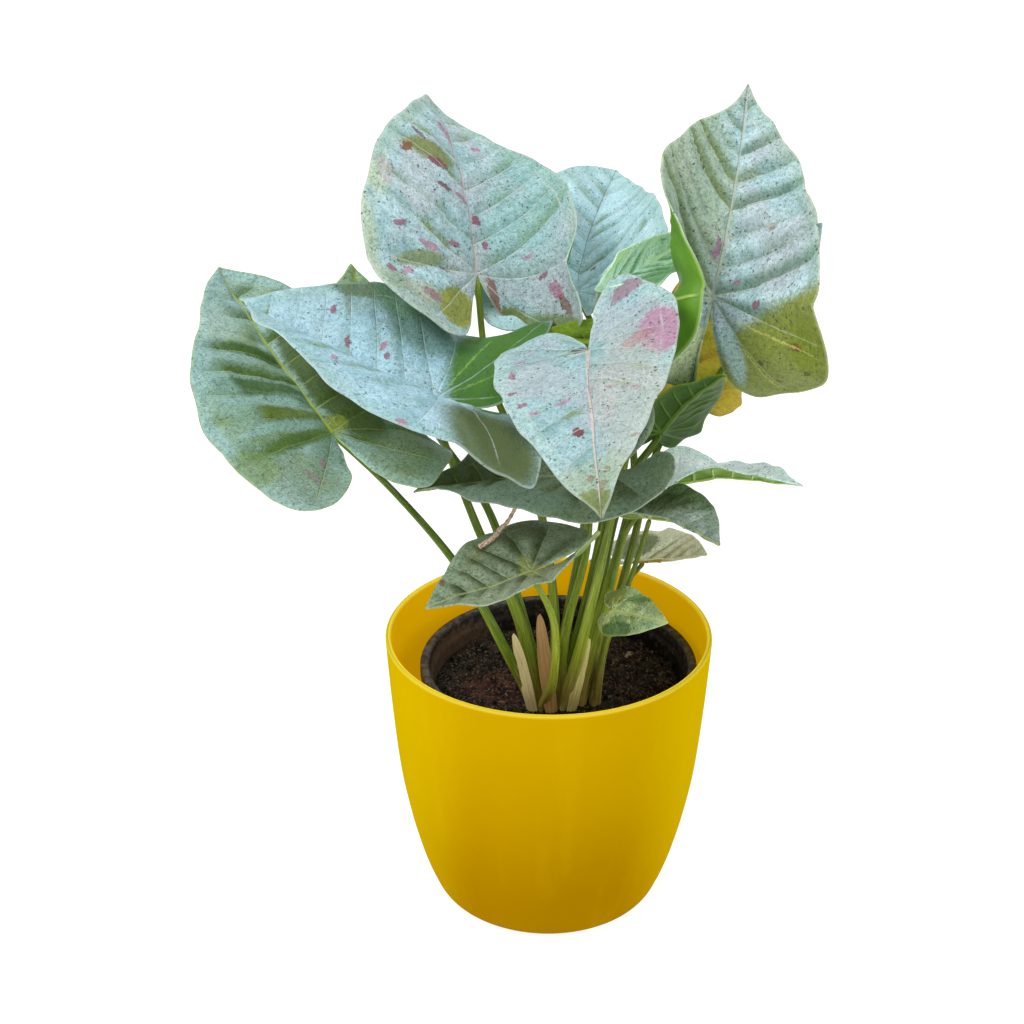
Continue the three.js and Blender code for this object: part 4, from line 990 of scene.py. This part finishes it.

# For each leaf: the place of its joint; the way it points; its length, half-widths and lobes, how
# far the lobes spread and how full its sides are; how its midrib bends ahead of the joint and
# behind it and sways, and how its sides fold, curl, cup and lift, in degrees; the height and
# number of its margin's waves; the spacing and slope of its side veins and the height of its
# pleats; its kind and what differs from that, with any drip tip or deeper notch; and its marks. A
# mark has its middle, half-sizes, turn, colour and strength, and may lie in the painted shade of
# the creases alone.
LEAF_KEYS = (
    "at azimuth rise roll length half lobe spread full arch heel sway fold curl cup lift wave "
    "pitch slope pleat kind"
).split()
LEAVES = {
    "leaf_top": (
        (-28, 21, 258), 96, 58, -31, 87, (52, 48), (29, 25), (0.6, 1), (2.1, 2), 43, -2, 6, (16, -11),
        (-28, 58), (1, 77), (29, -14), (1.5, 5), 11.5, 0.5, 0.55, "silver",
        {"zones": 0.3, "band": ("#a3bb9c", 0.5), "silver": "#88b0b4"},
        (26, 30, 18, 34, -20, "#86b4b0", 0.5), (30, 24, 4.5, 16, -48, MOSS, 0.75, "creases"),
        # The olive marks low on the left side, at and below the joint, are painted shade where the left lobe
        # turns down.
        (-16, 46.5, 12.5, 4.8, -9, OLIVE, 0.92), (-28, 2, 12, 3.2, 8, OLIVE, 0.75),
        (-43, -8, 6, 5, 0, OLIVE, 0.5), (-30, -14, 10, 6, -20, "#a7a878", 0.5),
        (20, 50, 4, 8, -30, MOSS, 0.6, "creases"), (-51, 8, 4, 20, 0, "#b9c8a6", 0.6),
        (-46, 38, 4, 15, 24, "#b9c8a6", 0.6), (-17, -16, 12, 8, 24, "#949838", 0.95),
        (15, -17, 6, 6, 30, "#6f7a34", 0.9), (33, -21.5, 21, 5, -14, "#7d9050", 0.85),
        (-38, 34, 3, 6, 10, "#b9a6a4", 0.55), (-3.5, 61, 1.8, 5.5, 30, PINK, 0.85),
        (-19, 54, 1.3, 3.2, 35, PLUM, 0.8), (-13.5, 41.5, 5.2, 2, -8, "#854f58", 0.95),
        (-13, 31.5, 3.4, 1.1, -20, PLUM, 0.85), (-4.5, 29.5, 3.6, 1.4, -28, PINK, 0.95),
        (11.5, 58, 2.8, 1, 10, PINK, 0.85), (2.6, 22, 2.6, 2.2, 40, ROSE, 0.95),
        (5.3, 12, 1.3, 2.2, -20, ROSE, 0.9), (-36, 14, 3, 1.3, 10, ROSE, 0.85),
        (-23, 7.5, 4.6, 1.6, -12, PINK, 0.9), (-11, 10, 2, 1.2, -20, ROSE, 0.85),
        (-43, -3.5, 2, 1.7, 0, ROSE, 0.85), (-35.5, -3.5, 3.2, 1.4, 25, PINK, 0.85),
        (-17, -0.5, 2.6, 0.9, -10, ROSE, 0.8), (-30, -13, 4.5, 2.2, -25, ROSE, 0.7),
        (22, 7, 2.4, 0.9, 10, PINK, 0.8), (28, -1, 2.7, 1.2, 20, ROSE, 0.85),
        (34, -7.5, 2.6, 4.2, 35, PINK, 0.95), (38, -14, 2, 5.5, 35, RUST, 0.75),
        (-26.5, 46, 3, 1.8, 35, RUST, 0.9), (8, -9, 2.4, 9, 16, "#8a5548", 0.85),
    ),
    "leaf_right": (
        (60, 10, 253), 61, 63, -7, 86, (43, 52), (38, 46), (0.1, 0.6), (2.1, 1.2), 32, 44, -14,
        (27, 14), (16, 9), (129, 31), (-7, -66), (1.5, 6), 11, (0.95, 0.28), 3, "silver",
        {"drip": 3.5, "zones": 0.35, "crease": 0.78, "grain": "#587a5e",
         "rib": ("#b9c4b0", 0.75, "#5a5560"), "band": ("#92b098", 0.5), "haze": "#c8e2e8",
         "vein": ("#c9d0a8", 0.55)},
        # The darker grey-green in the creases of the left half is painted shade; the pale mark on the curled
        # left lobe is painted light; the pale blue streak just below the joint is a painted highlight.
        (-20, 34, 20, 46, 8, "#b3c6a4", 0.6), (-20, 34, 20, 46, 8, "#5f7540", 0.85, "creases"),
        (-6, -24, 10, 14, 10, "#c9d8aa", 0.95), (20.5, -1, 2.4, 1.2, 20, ROSE, 0.85),
        (40, 0, 3.4, 1.1, 10, PINK, 0.85), (-2.6, 18, 1.4, 4.5, 0, "#a87a9a", 0.8),
        (9, 6, 2, 1.1, 20, PINK, 0.8), (19, 26, 1.6, 1.4, 0, "#8a6a4a", 0.7),
        (43, -21, 42, 24, 26, "#87923f", 0.97), (48, -14, 16, 10, -10, "#7d8b24", 0.9),
        (22, -12, 14, 7, 25, "#87933f", 0.9), (12, -22, 3.4, 13, 20, "#a6c4c2", 0.85),
        (36.5, -12, 2.2, 1.6, 0, RUST, 0.75), (27, -10.5, 20, 0.4, -11, "#c6c66c", 0.7),
        (23, -27, 15, 0.4, -48, "#bcc064", 0.6), (30, -30, 1.4, 1, 0, RUST, 0.8),
        (22, -22, 1.2, 1, 0, "#4a4a20", 0.8), (40, -22, 1.3, 0.9, 20, "#4a4a20", 0.8),
    ),
    "leaf_behind": (
        (11, 48, 242), 82, 26, 1, 76, (45, 47), (36, 31), (0.7, 0.7), (2.2, 1.7), 4, -6, 14, (30, 28),
        (-8, 27), (0, 0), (0, 30), (1, 5), 9.5, 0.45, 0.8, "blue",
        # Its lighter silver and haze and its glow are painted light, lifting it out of the shade it lies in.
        {"silver": "#acd8e0", "haze": "#c6e6ee", "rib": ("#a9bcbc", 0.4, "#36434a"), "glow": 0.06,
         "flecks": 0.5, "crease": 0.34},
        (6.4, 10, 1.6, 1.2, 0, ROSE, 0.85),
    ),
    "leaf_half_open": (
        (22, 12, 255), 47, 14, -43, 50, (19, 25), (13, 13), (0.7, 0.7), (1.7, 1.8), -4, -4, 7, (59, 54),
        (23, 11), (0, 0), (14, 26), (0, 0), 8, 0.6, 0.9, "glossy", {},
        # The pale mark at the left lobe is painted light; the deeper greens on the right side and near the
        # tip are painted shade on the rolled blade.
        (-6, 36, 11, 11, 0, "#5f9a6c", 0.5), (-16, -3, 6, 8, 0, "#b4cf86", 0.6),
        (18, 16, 10, 16, 0, "#35692f", 0.85), (9, 36, 6, 8, 0, "#4a8046", 0.7),
    ),
    "leaf_front": (
        (12, -37, 249), -92, -5, -20, 82, (34, 34), (38, 26), (0.5, 0.7), (1.7, 1.9), 32, -5, 4,
        (12, 9), (-20, 1), (0, 0), (19, -14), (0.8, 5), 10.5, 0.55, 0.4, "silver",
        {"band": ("#bcd8d0", 0.5), "zones": 0.2, "silver": "#83a9ad", "haze": "#a8c8ce", "flecks": 0.68},
        (-27, 5, 8.2, 14, 0, "#b58aa4", 0.95), (-19, 6, 6.5, 4, 20, "#ad7084", 0.8),
        (-17.5, -27, 7, 4.6, 20, "#9c7c8e", 0.85), (27, 10, 1.2, 2.5, 0, ROSE, 0.85),
        (24, 1, 1.6, 1.2, 0, PINK, 0.8), (26.5, 23, 1.8, 1.3, 30, ROSE, 0.85),
        (23, 30, 2, 1.2, 30, ROSE, 0.85), (19, 34.5, 1.8, 1.2, 0, PINK, 0.85),
        (9, 31, 3.2, 1, 25, PINK, 0.85), (-1, 28, 1.3, 1, 0, PINK, 0.8),
        (-16.5, 34, 2.2, 1.1, -30, PINK, 0.8), (-7.5, 29.5, 1.6, 0.8, 0, PINK, 0.8),
        (2.5, 66, 1.4, 1.4, 0, ROSE, 0.85), (5, 46, 1.8, 2.6, 10, "#7a3b40", 0.95),
        (-14.5, 55, 1.6, 1, 0, RUST, 0.8), (-4, 65, 1.5, 1, 0, RUST, 0.8),
        (-1.5, 70, 2.4, 1.4, 30, RUST, 0.7), (2, 79, 8, 9, 0, "#6f7a2c", 0.9),
        (0, 66, 13, 7, 0, "#9ba670", 0.45), (-14, 34, 13, 34, 0, "#b9b8ae", 0.55),
        (3, -1, 3.5, 2, 0, "#3f2f25", 0.8),
    ),
    "leaf_left": (
        (-42, -36, 231), 175, 24, 5, 79, (47, 53), (45, 38), (1.3, 1.2), (2.3, 1.9), 10, -28, 30,
        (38, 31), (-53, -10), (0, -47), (4, 15), (1, 6), 11, 0.5, 0.5, "blue",
        {"notch": 0.22, "zones": 0.3},
        (15, 49, 2.2, 1.3, 20, ROSE, 0.85), (5.5, 37, 2.4, 1.1, 30, ROSE, 0.85),
        (11, 25, 2.6, 1.1, 0, PINK, 0.85), (7.5, 22, 1.5, 1, 0, ROSE, 0.8),
        (36, 42, 19, 6.5, -52, "#708a72", 0.95), (45, 14, 6.5, 14, 0, "#6c8264", 0.8),
        (27, 14, 11, 15, 0, "#5f8478", 0.75), (37, 33, 2.4, 1.3, 0, PINK, 0.85),
        (41, 25, 2, 1.2, 30, ROSE, 0.8), (-26, 32, 2.2, 1.2, 20, PINK, 0.85),
        (-46, 6.5, 1.8, 1.4, 0, PINK, 0.8), (27, 46, 12, 6, 20, OLIVE, 0.6, "creases"),
        # The two dark olive marks on the left lobe are painted shadow, cast by the front leaf above it.
        (26, -23, 42, 23, 0, "#437208", 0.97), (-41, -25, 29, 14, 39, "#53602a", 0.93),
        (-40, -26, 24, 7, 39, "#46521a", 0.7), (22, -8, 20, 0.35, -18, "#8fb45c", 0.6),
        (13, -14, 16, 0.35, -48, "#8fb45c", 0.5), (-8, -8, 7, 7, 0, "#c3dce6", 0.7),
        (36, 30, 10, 12, 0, "#6c9276", 0.85),
    ),
    "leaf_far_left": (
        (-81, -16, 209), 127, 24, -4, 94, (50, 49), (42, 42), (0.8, 0.4), (1.9, 2.3), -6, -3, 0,
        (24, 20), (-33, -28), (-10, -40), (7, 14), (1.2, 6), 12.5, 0.25, 1.5, "leafy",
        {"band": ("#9fc3c0", 0.9)},
        # The dark olive over the right half is painted shade. Across the left half, the dark green bands are
        # painted shade in the fold valleys, and the pale blue bands between them are painted reflection on
        # the crests. The pale mark on the left lobe is a painted highlight.
        (-26, -25, 1.6, 5.5, 20, ROSE, 0.9), (-18, -19, 1.8, 2.4, 0, PINK, 0.85),
        (12, 17, 1.5, 1.5, 0, RUST, 0.8), (14, 28, 12.5, 42, 0, "#50652f", 0.95),
        (-20, 62, 12, 12, 0, "#b6d2cf", 0.7), (-18, 25, 20, 3.2, -15, "#446529", 0.9),
        (-19, 10, 21, 3.4, -6, "#6d802c", 0.9), (-19, -4.5, 20, 3.6, 14, "#5f7c33", 0.9),
        (-20, 17.5, 18, 2.8, -10, "#a3c9cc", 0.85), (-22, 3, 18, 2.6, 4, "#9dc3c2", 0.85),
        (-12, 42, 13, 3, -22, "#446529", 0.9), (24, -24, 17, 16, 0, "#869a80", 0.7),
        (-30, -26, 14, 14, 20, "#9cb2a6", 0.6), (-36, 26, 7, 26, 12, "#94bbb8", 0.6),
        (3, 3, 5, 4, 0, "#93a048", 0.8), (-43, -14, 8, 10, 0, "#7d9656", 0.65),
    ),
    "leaf_shaded": (
        (14, -24, 196), 172, -5, -9, 69, (40, 36), (37, 39), (0.9, 0.8), (1.3, 1.7), 12, -46, 8,
        (10, 38), (-42, -3), (-1, 0), (5, 22), (1, 5), 10, 0.5, 0.9, "shaded", {},
        # The dark olive mark in its upper part is painted shadow under the leaves above.
        (-22, 36, 2, 1.4, 0, RUST, 0.7), (8, 46, 13, 28, -8, "#424c20", 0.85),
        (-21, 28, 7, 27, -23, "#9db4ab", 0.85), (-22, -28, 12, 10, 0, "#7f9580", 0.5),
    ),
    "leaf_low": (
        (-8, -46, 167), -161, -11, 0, 41, (33, 31), (24, 29), (0.7, 0.6), (1.8, 1.9), 1, 6, 2, (13, 14),
        (16, -9), (0, 0), (31, -9), (0.8, 5), 8, 0.45, 1.1, "shaded",
        {"silver": "#6e7e64", "haze": "#96a68e", "green": "#414f27", "flecks": 0.85, "crease": 0.65},
        (10, 31, 2, 1.2, 0, RUST, 0.7), (0, 0, 9, 3, 0, "#b8c06a", 0.6),
        (-6, -16, 10, 5, 0, "#5a6624", 0.7), (25, -6, 8, 7, 0, "#556038", 0.6),
        (-20, 14, 9, 20, 0, "#a4ad93", 0.6),
    ),
    "leaf_dark": (
        (43, 10, 198), -37, 60, 25, 44, (20, 19), (10, 10), (0.7, 0.7), (1.8, 1.8), 29, 11, -1,
        (12, 16), (-16, -32), (0, 0), (12, 0), (0, 0), 8, 0.7, 0.8, "dark", {},
    ),
    "leaf_yellow": (
        (55, 30, 210), 70, 52, -31, 60, (27, 22), (9, 9), (0.7, 0.7), (2.2, 1.9), 29, 12, 15, (23, 14),
        (26, -25), (0, 0), (0, 0), (0, 0), 9, 0.6, 0.8, "olive", {},
    ),
    "leaf_side": (
        (49, 2, 180), -42, 26, 3, 56, (28, 20), (15, 14), (0.7, 0.7), (1.9, 1.9), 20, 2, -3, (13, 51),
        (-29, -52), (1, -45), (38, 0), (0.6, 5), 9, 0.6, 0.8, "blue",
        # Its near-white silver and haze and its strong glow are painted light.
        {"drip": 2.5, "silver": "#d3e8e8", "haze": "#eef7f8", "glow": 0.3},
    ),
    "leaf_side_low": (
        (37, -22, 177), -40, 16, 4, 33, (22, 12), (18, 10), (0.6, 0.7), (1.8, 1.7), 34, 3, 2, (21, 23),
        (-7, 6), (0, 0), (-8, 0), (0.5, 5), 8, 0.6, 2.2, "shaded",
        {"silver": "#a3baae", "haze": "#d6e4dc", "grain": "#46593f", "flecks": 1, "crease": 0.8},
        (-11, 0, 6, 12, 0, "#5a6b42", 0.7), (-1, 30, 8, 6, 0, "#b9c9bd", 0.7),
    ),
    "leaf_pale": (
        (40, 34, 130), -28, 19, 0, 30, (24, 21), (22, 17), (0.7, 0.7), (1.8, 1.7), -2, 8, 4, (16, 15),
        (-11, 20), (0, 0), (8, 12), (0.5, 5), 7, 0.6, 1, "pale", {},
        (-12, -7, 9, 9, 0, "#5c6a34", 0.85),
    ),
    "leaf_young": (
        (24, -26, 140), -46, 13, -42, 26, (11, 10), (9, 8), (0.7, 0.6), (2, 2), 15, 19, -2, (5, 0),
        (-29, -31), (0, 0), (-3, -14), (0.4, 5), 8, 0.6, 0.8, "fresh", {},
        (-6, -3, 4.5, 6, 0, "#8a942f", 0.85), (7.5, 4, 3.4, 8, 10, "#3c6a2b", 0.8),
        (3.5, 5, 2, 4, 0, "#467a35", 0.6), (-7.5, 12, 1.8, 7, 25, "#4a7a33", 0.7),
        (3, 19, 3, 5, 0, "#a9cfae", 0.5),
    ),
    # A small leaf deep in the plant, filling a gap; its dark kind is painted shade.
    "leaf_inner": (
        (20, 4, 237), 178, 4, 70, 29, (16, 9), (10, 10), (0.7, 0.7), (1.8, 1.8), 8, 6, 0, (10, 10),
        (-10, -10), (0, 0), (0, 0), (0, 0), 7, 0.6, 0.6, "dark", {},
    ),
    "leaf_back_left": (
        (-62, 6, 235), 111, 25, -25, 46, (25, 20), (18, 18), (0.7, 0.7), (1.7, 1.5), 2, 12, -2, (6, 4),
        (-23, -19), (0, 0), (0, 0), (0, 0), 8, 0.6, 0.8, "leafy",
        {"silver": "#a3bd76", "haze": "#bccf90"},
    ),
    "leaf_back_right": (
        (85, 38, 242), 46, 43, -12, 46, (24, 14), (16, 16), (0.7, 0.7), (2, 1.5), 33, 12, -5, (26, 18),
        (-11, -5), (0, 0), (0, 0), (0, 0), 8, 0.6, 0.8, "blue", {},
    ),
}

backs = {kind: leaf_back(f"{kind}_underside", look) for kind, look in KINDS.items()}
for index, (name, row) in enumerate(LEAVES.items()):
    leaf = dict(zip(LEAF_KEYS, row))
    changes, *marks = row[len(LEAF_KEYS) :]
    kind = leaf["kind"]
    look = {**KINDS[kind], **changes}
    sides = [leaf_face(f"{name}_face", index + 1, look, marks), backs[kind]]
    blade = add_piece(f"{name}_blade", blade_mesh({**leaf, **changes}), sides, look["slot"], name)
    wall = thickened(blade, BLADE_THICKNESS)
    wall.material_offset = 1
    wall.material_offset_rim = 0

# ---------------- dry sheaths
# What is left of old leaves' sheaths: thin, papery, curled strips that stand round the feet of
# the stalks, rooted at the soil and torn along their tops.
SHEATH_THICKNESS = 0.45
SHEATH_COLUMNS, SHEATH_ROWS = 28, 60
# node, foot, top, radius, wrap and facing in degrees, pale and dark colour, and how torn it is
SHEATHS = [
    ("sheath_cream", (-7, -22.5, 93), (-14, -27, 130), 2.6, 120, -110, "#f1e6b0", "#9a8f4c", 1.0),
    ("sheath_brown", (1, -24, 93), (-4, -28, 139), 3.1, 110, -80, "#bd9a68", "#785c33", 1.2),
    ("sheath_pale", (9, -22.5, 93), (15, -25.5, 127), 2.4, 120, -70, "#ebe6a0", "#9c9040", 1.0),
]
for node, foot, top, radius, wrap, facing, pale, dark, torn in SHEATHS:
    # the paper glows faintly with its own colour, as painted light
    material, shader, start = finish(f"{node}_paper", specular=0.3, glow=0.14)
    strip = start.noted("strip")
    fibres = strip.moved(size=(0.02, 1.0, 1)).cloud(1.1, 4.0, 0.6)
    stain = strip.moved(size=(0.6, 1.0, 1)).cloud(2.2, 3.0, 0.6)
    freckles = strip.moved(size=(0.07, 0.04, 1)).cloud(2.2, 3.0, 0.7).step(0.56, 0.7)
    hue = (fibres.step(0.45, 0.68) * 0.42).tint(pale, dark).layered(
        (freckles * 0.6, "#7a5a3a"),
        (stain.step(0.55, 0.75) * 0.4, "#86603c"),
        (strip.part(1).step(0.4, 0.05) * 0.65, "#7d682f"),
    )
    dress(shader, hue, fibres * 0.2 + 0.55, fibres + stain * 0.4, 0.5, lit=True)
    sheath_mesh, layers = noted_mesh("strip")

    def strip_place(u, v):
        turn = math.radians(facing) + math.radians(wrap) * (u - 0.5)
        narrow = (1 - v**6) ** 0.5 * (0.82 + 0.18 * math.sin(math.pi * v))
        ragged = torn * noise.noise(Vector((u * 5 + radius, facing, 0))) * v**4
        middle = Vector((math.cos(math.radians(facing)), math.sin(math.radians(facing)), 0))
        ring = Vector((math.cos(turn), math.sin(turn), 0))
        crease = 0.25 * math.sin(u * 21 + v * 3) + 0.3 * noise.noise(Vector((u * 2, v * 5, radius)))
        spot = Vector(foot).lerp(Vector(top), v) + (ring - middle) * radius * narrow
        spot += ring * crease + Vector((0, 0, ragged))
        return spot, Vector((u, v, 0))

    sheet(sheath_mesh, SHEATH_COLUMNS, SHEATH_ROWS, strip_place, *layers)
    bmesh.ops.recalc_face_normals(sheath_mesh, faces=sheath_mesh.faces)
    strip_piece = add_piece(f"{node}_strip", sheath_mesh, [material], "dry_sheath", node)
    thickened(strip_piece, SHEATH_THICKNESS)

# ---------------- dry stalk
# A dead leaf stalk, shrivelled to a thin, tough string of dry pinkish-tan fibre. It has come off
# its shoot and lies curled over the low leaf.
DRY_WAY = [
    (-27, -31, 169.6), (-22.5, -28.5, 171.2), (-19, -22, 172.6), (-15.5, -17, 174.4), (-12, -14, 181),
]
DRY_RADIUS = 0.95
DRY_STEPS = (14, 90)
DRY_TONE = (0, 0, 1)

# it glows faintly with its own colour, as painted light
dry_material, shader, start = finish("shrivelled_stalk", specular=0.25, glow=0.2)
along, around, _ = start.noted("way").parts()
wrinkles = along.joined(along * 0.5, around * 6, 0.0).cloud(1.5, 4.0)
hue = wrinkles.step(0.35, 0.65).tint("#a07c66", "#ecd0bc")
dress(shader, hue, wrinkles * 0.2 + 0.6, wrinkles, 0.4, lit=True)


def dry_radius_at(share, angle):
    wrinkle = 1 + 0.14 * math.sin(3 * angle + share * 22) + 0.12 * math.sin(share * 61)
    return DRY_RADIUS * (1 - 0.3 * share) * wrinkle


dry_mesh, layers = noted_mesh("way", "kind")
stalk_tube(dry_mesh, DRY_WAY, dry_radius_at, (0, 0, 1), DRY_STEPS, layers, DRY_TONE)
add_piece("dry_stalk_string", closed(dry_mesh), [dry_material], "dry_stalk", "dry_stalk")
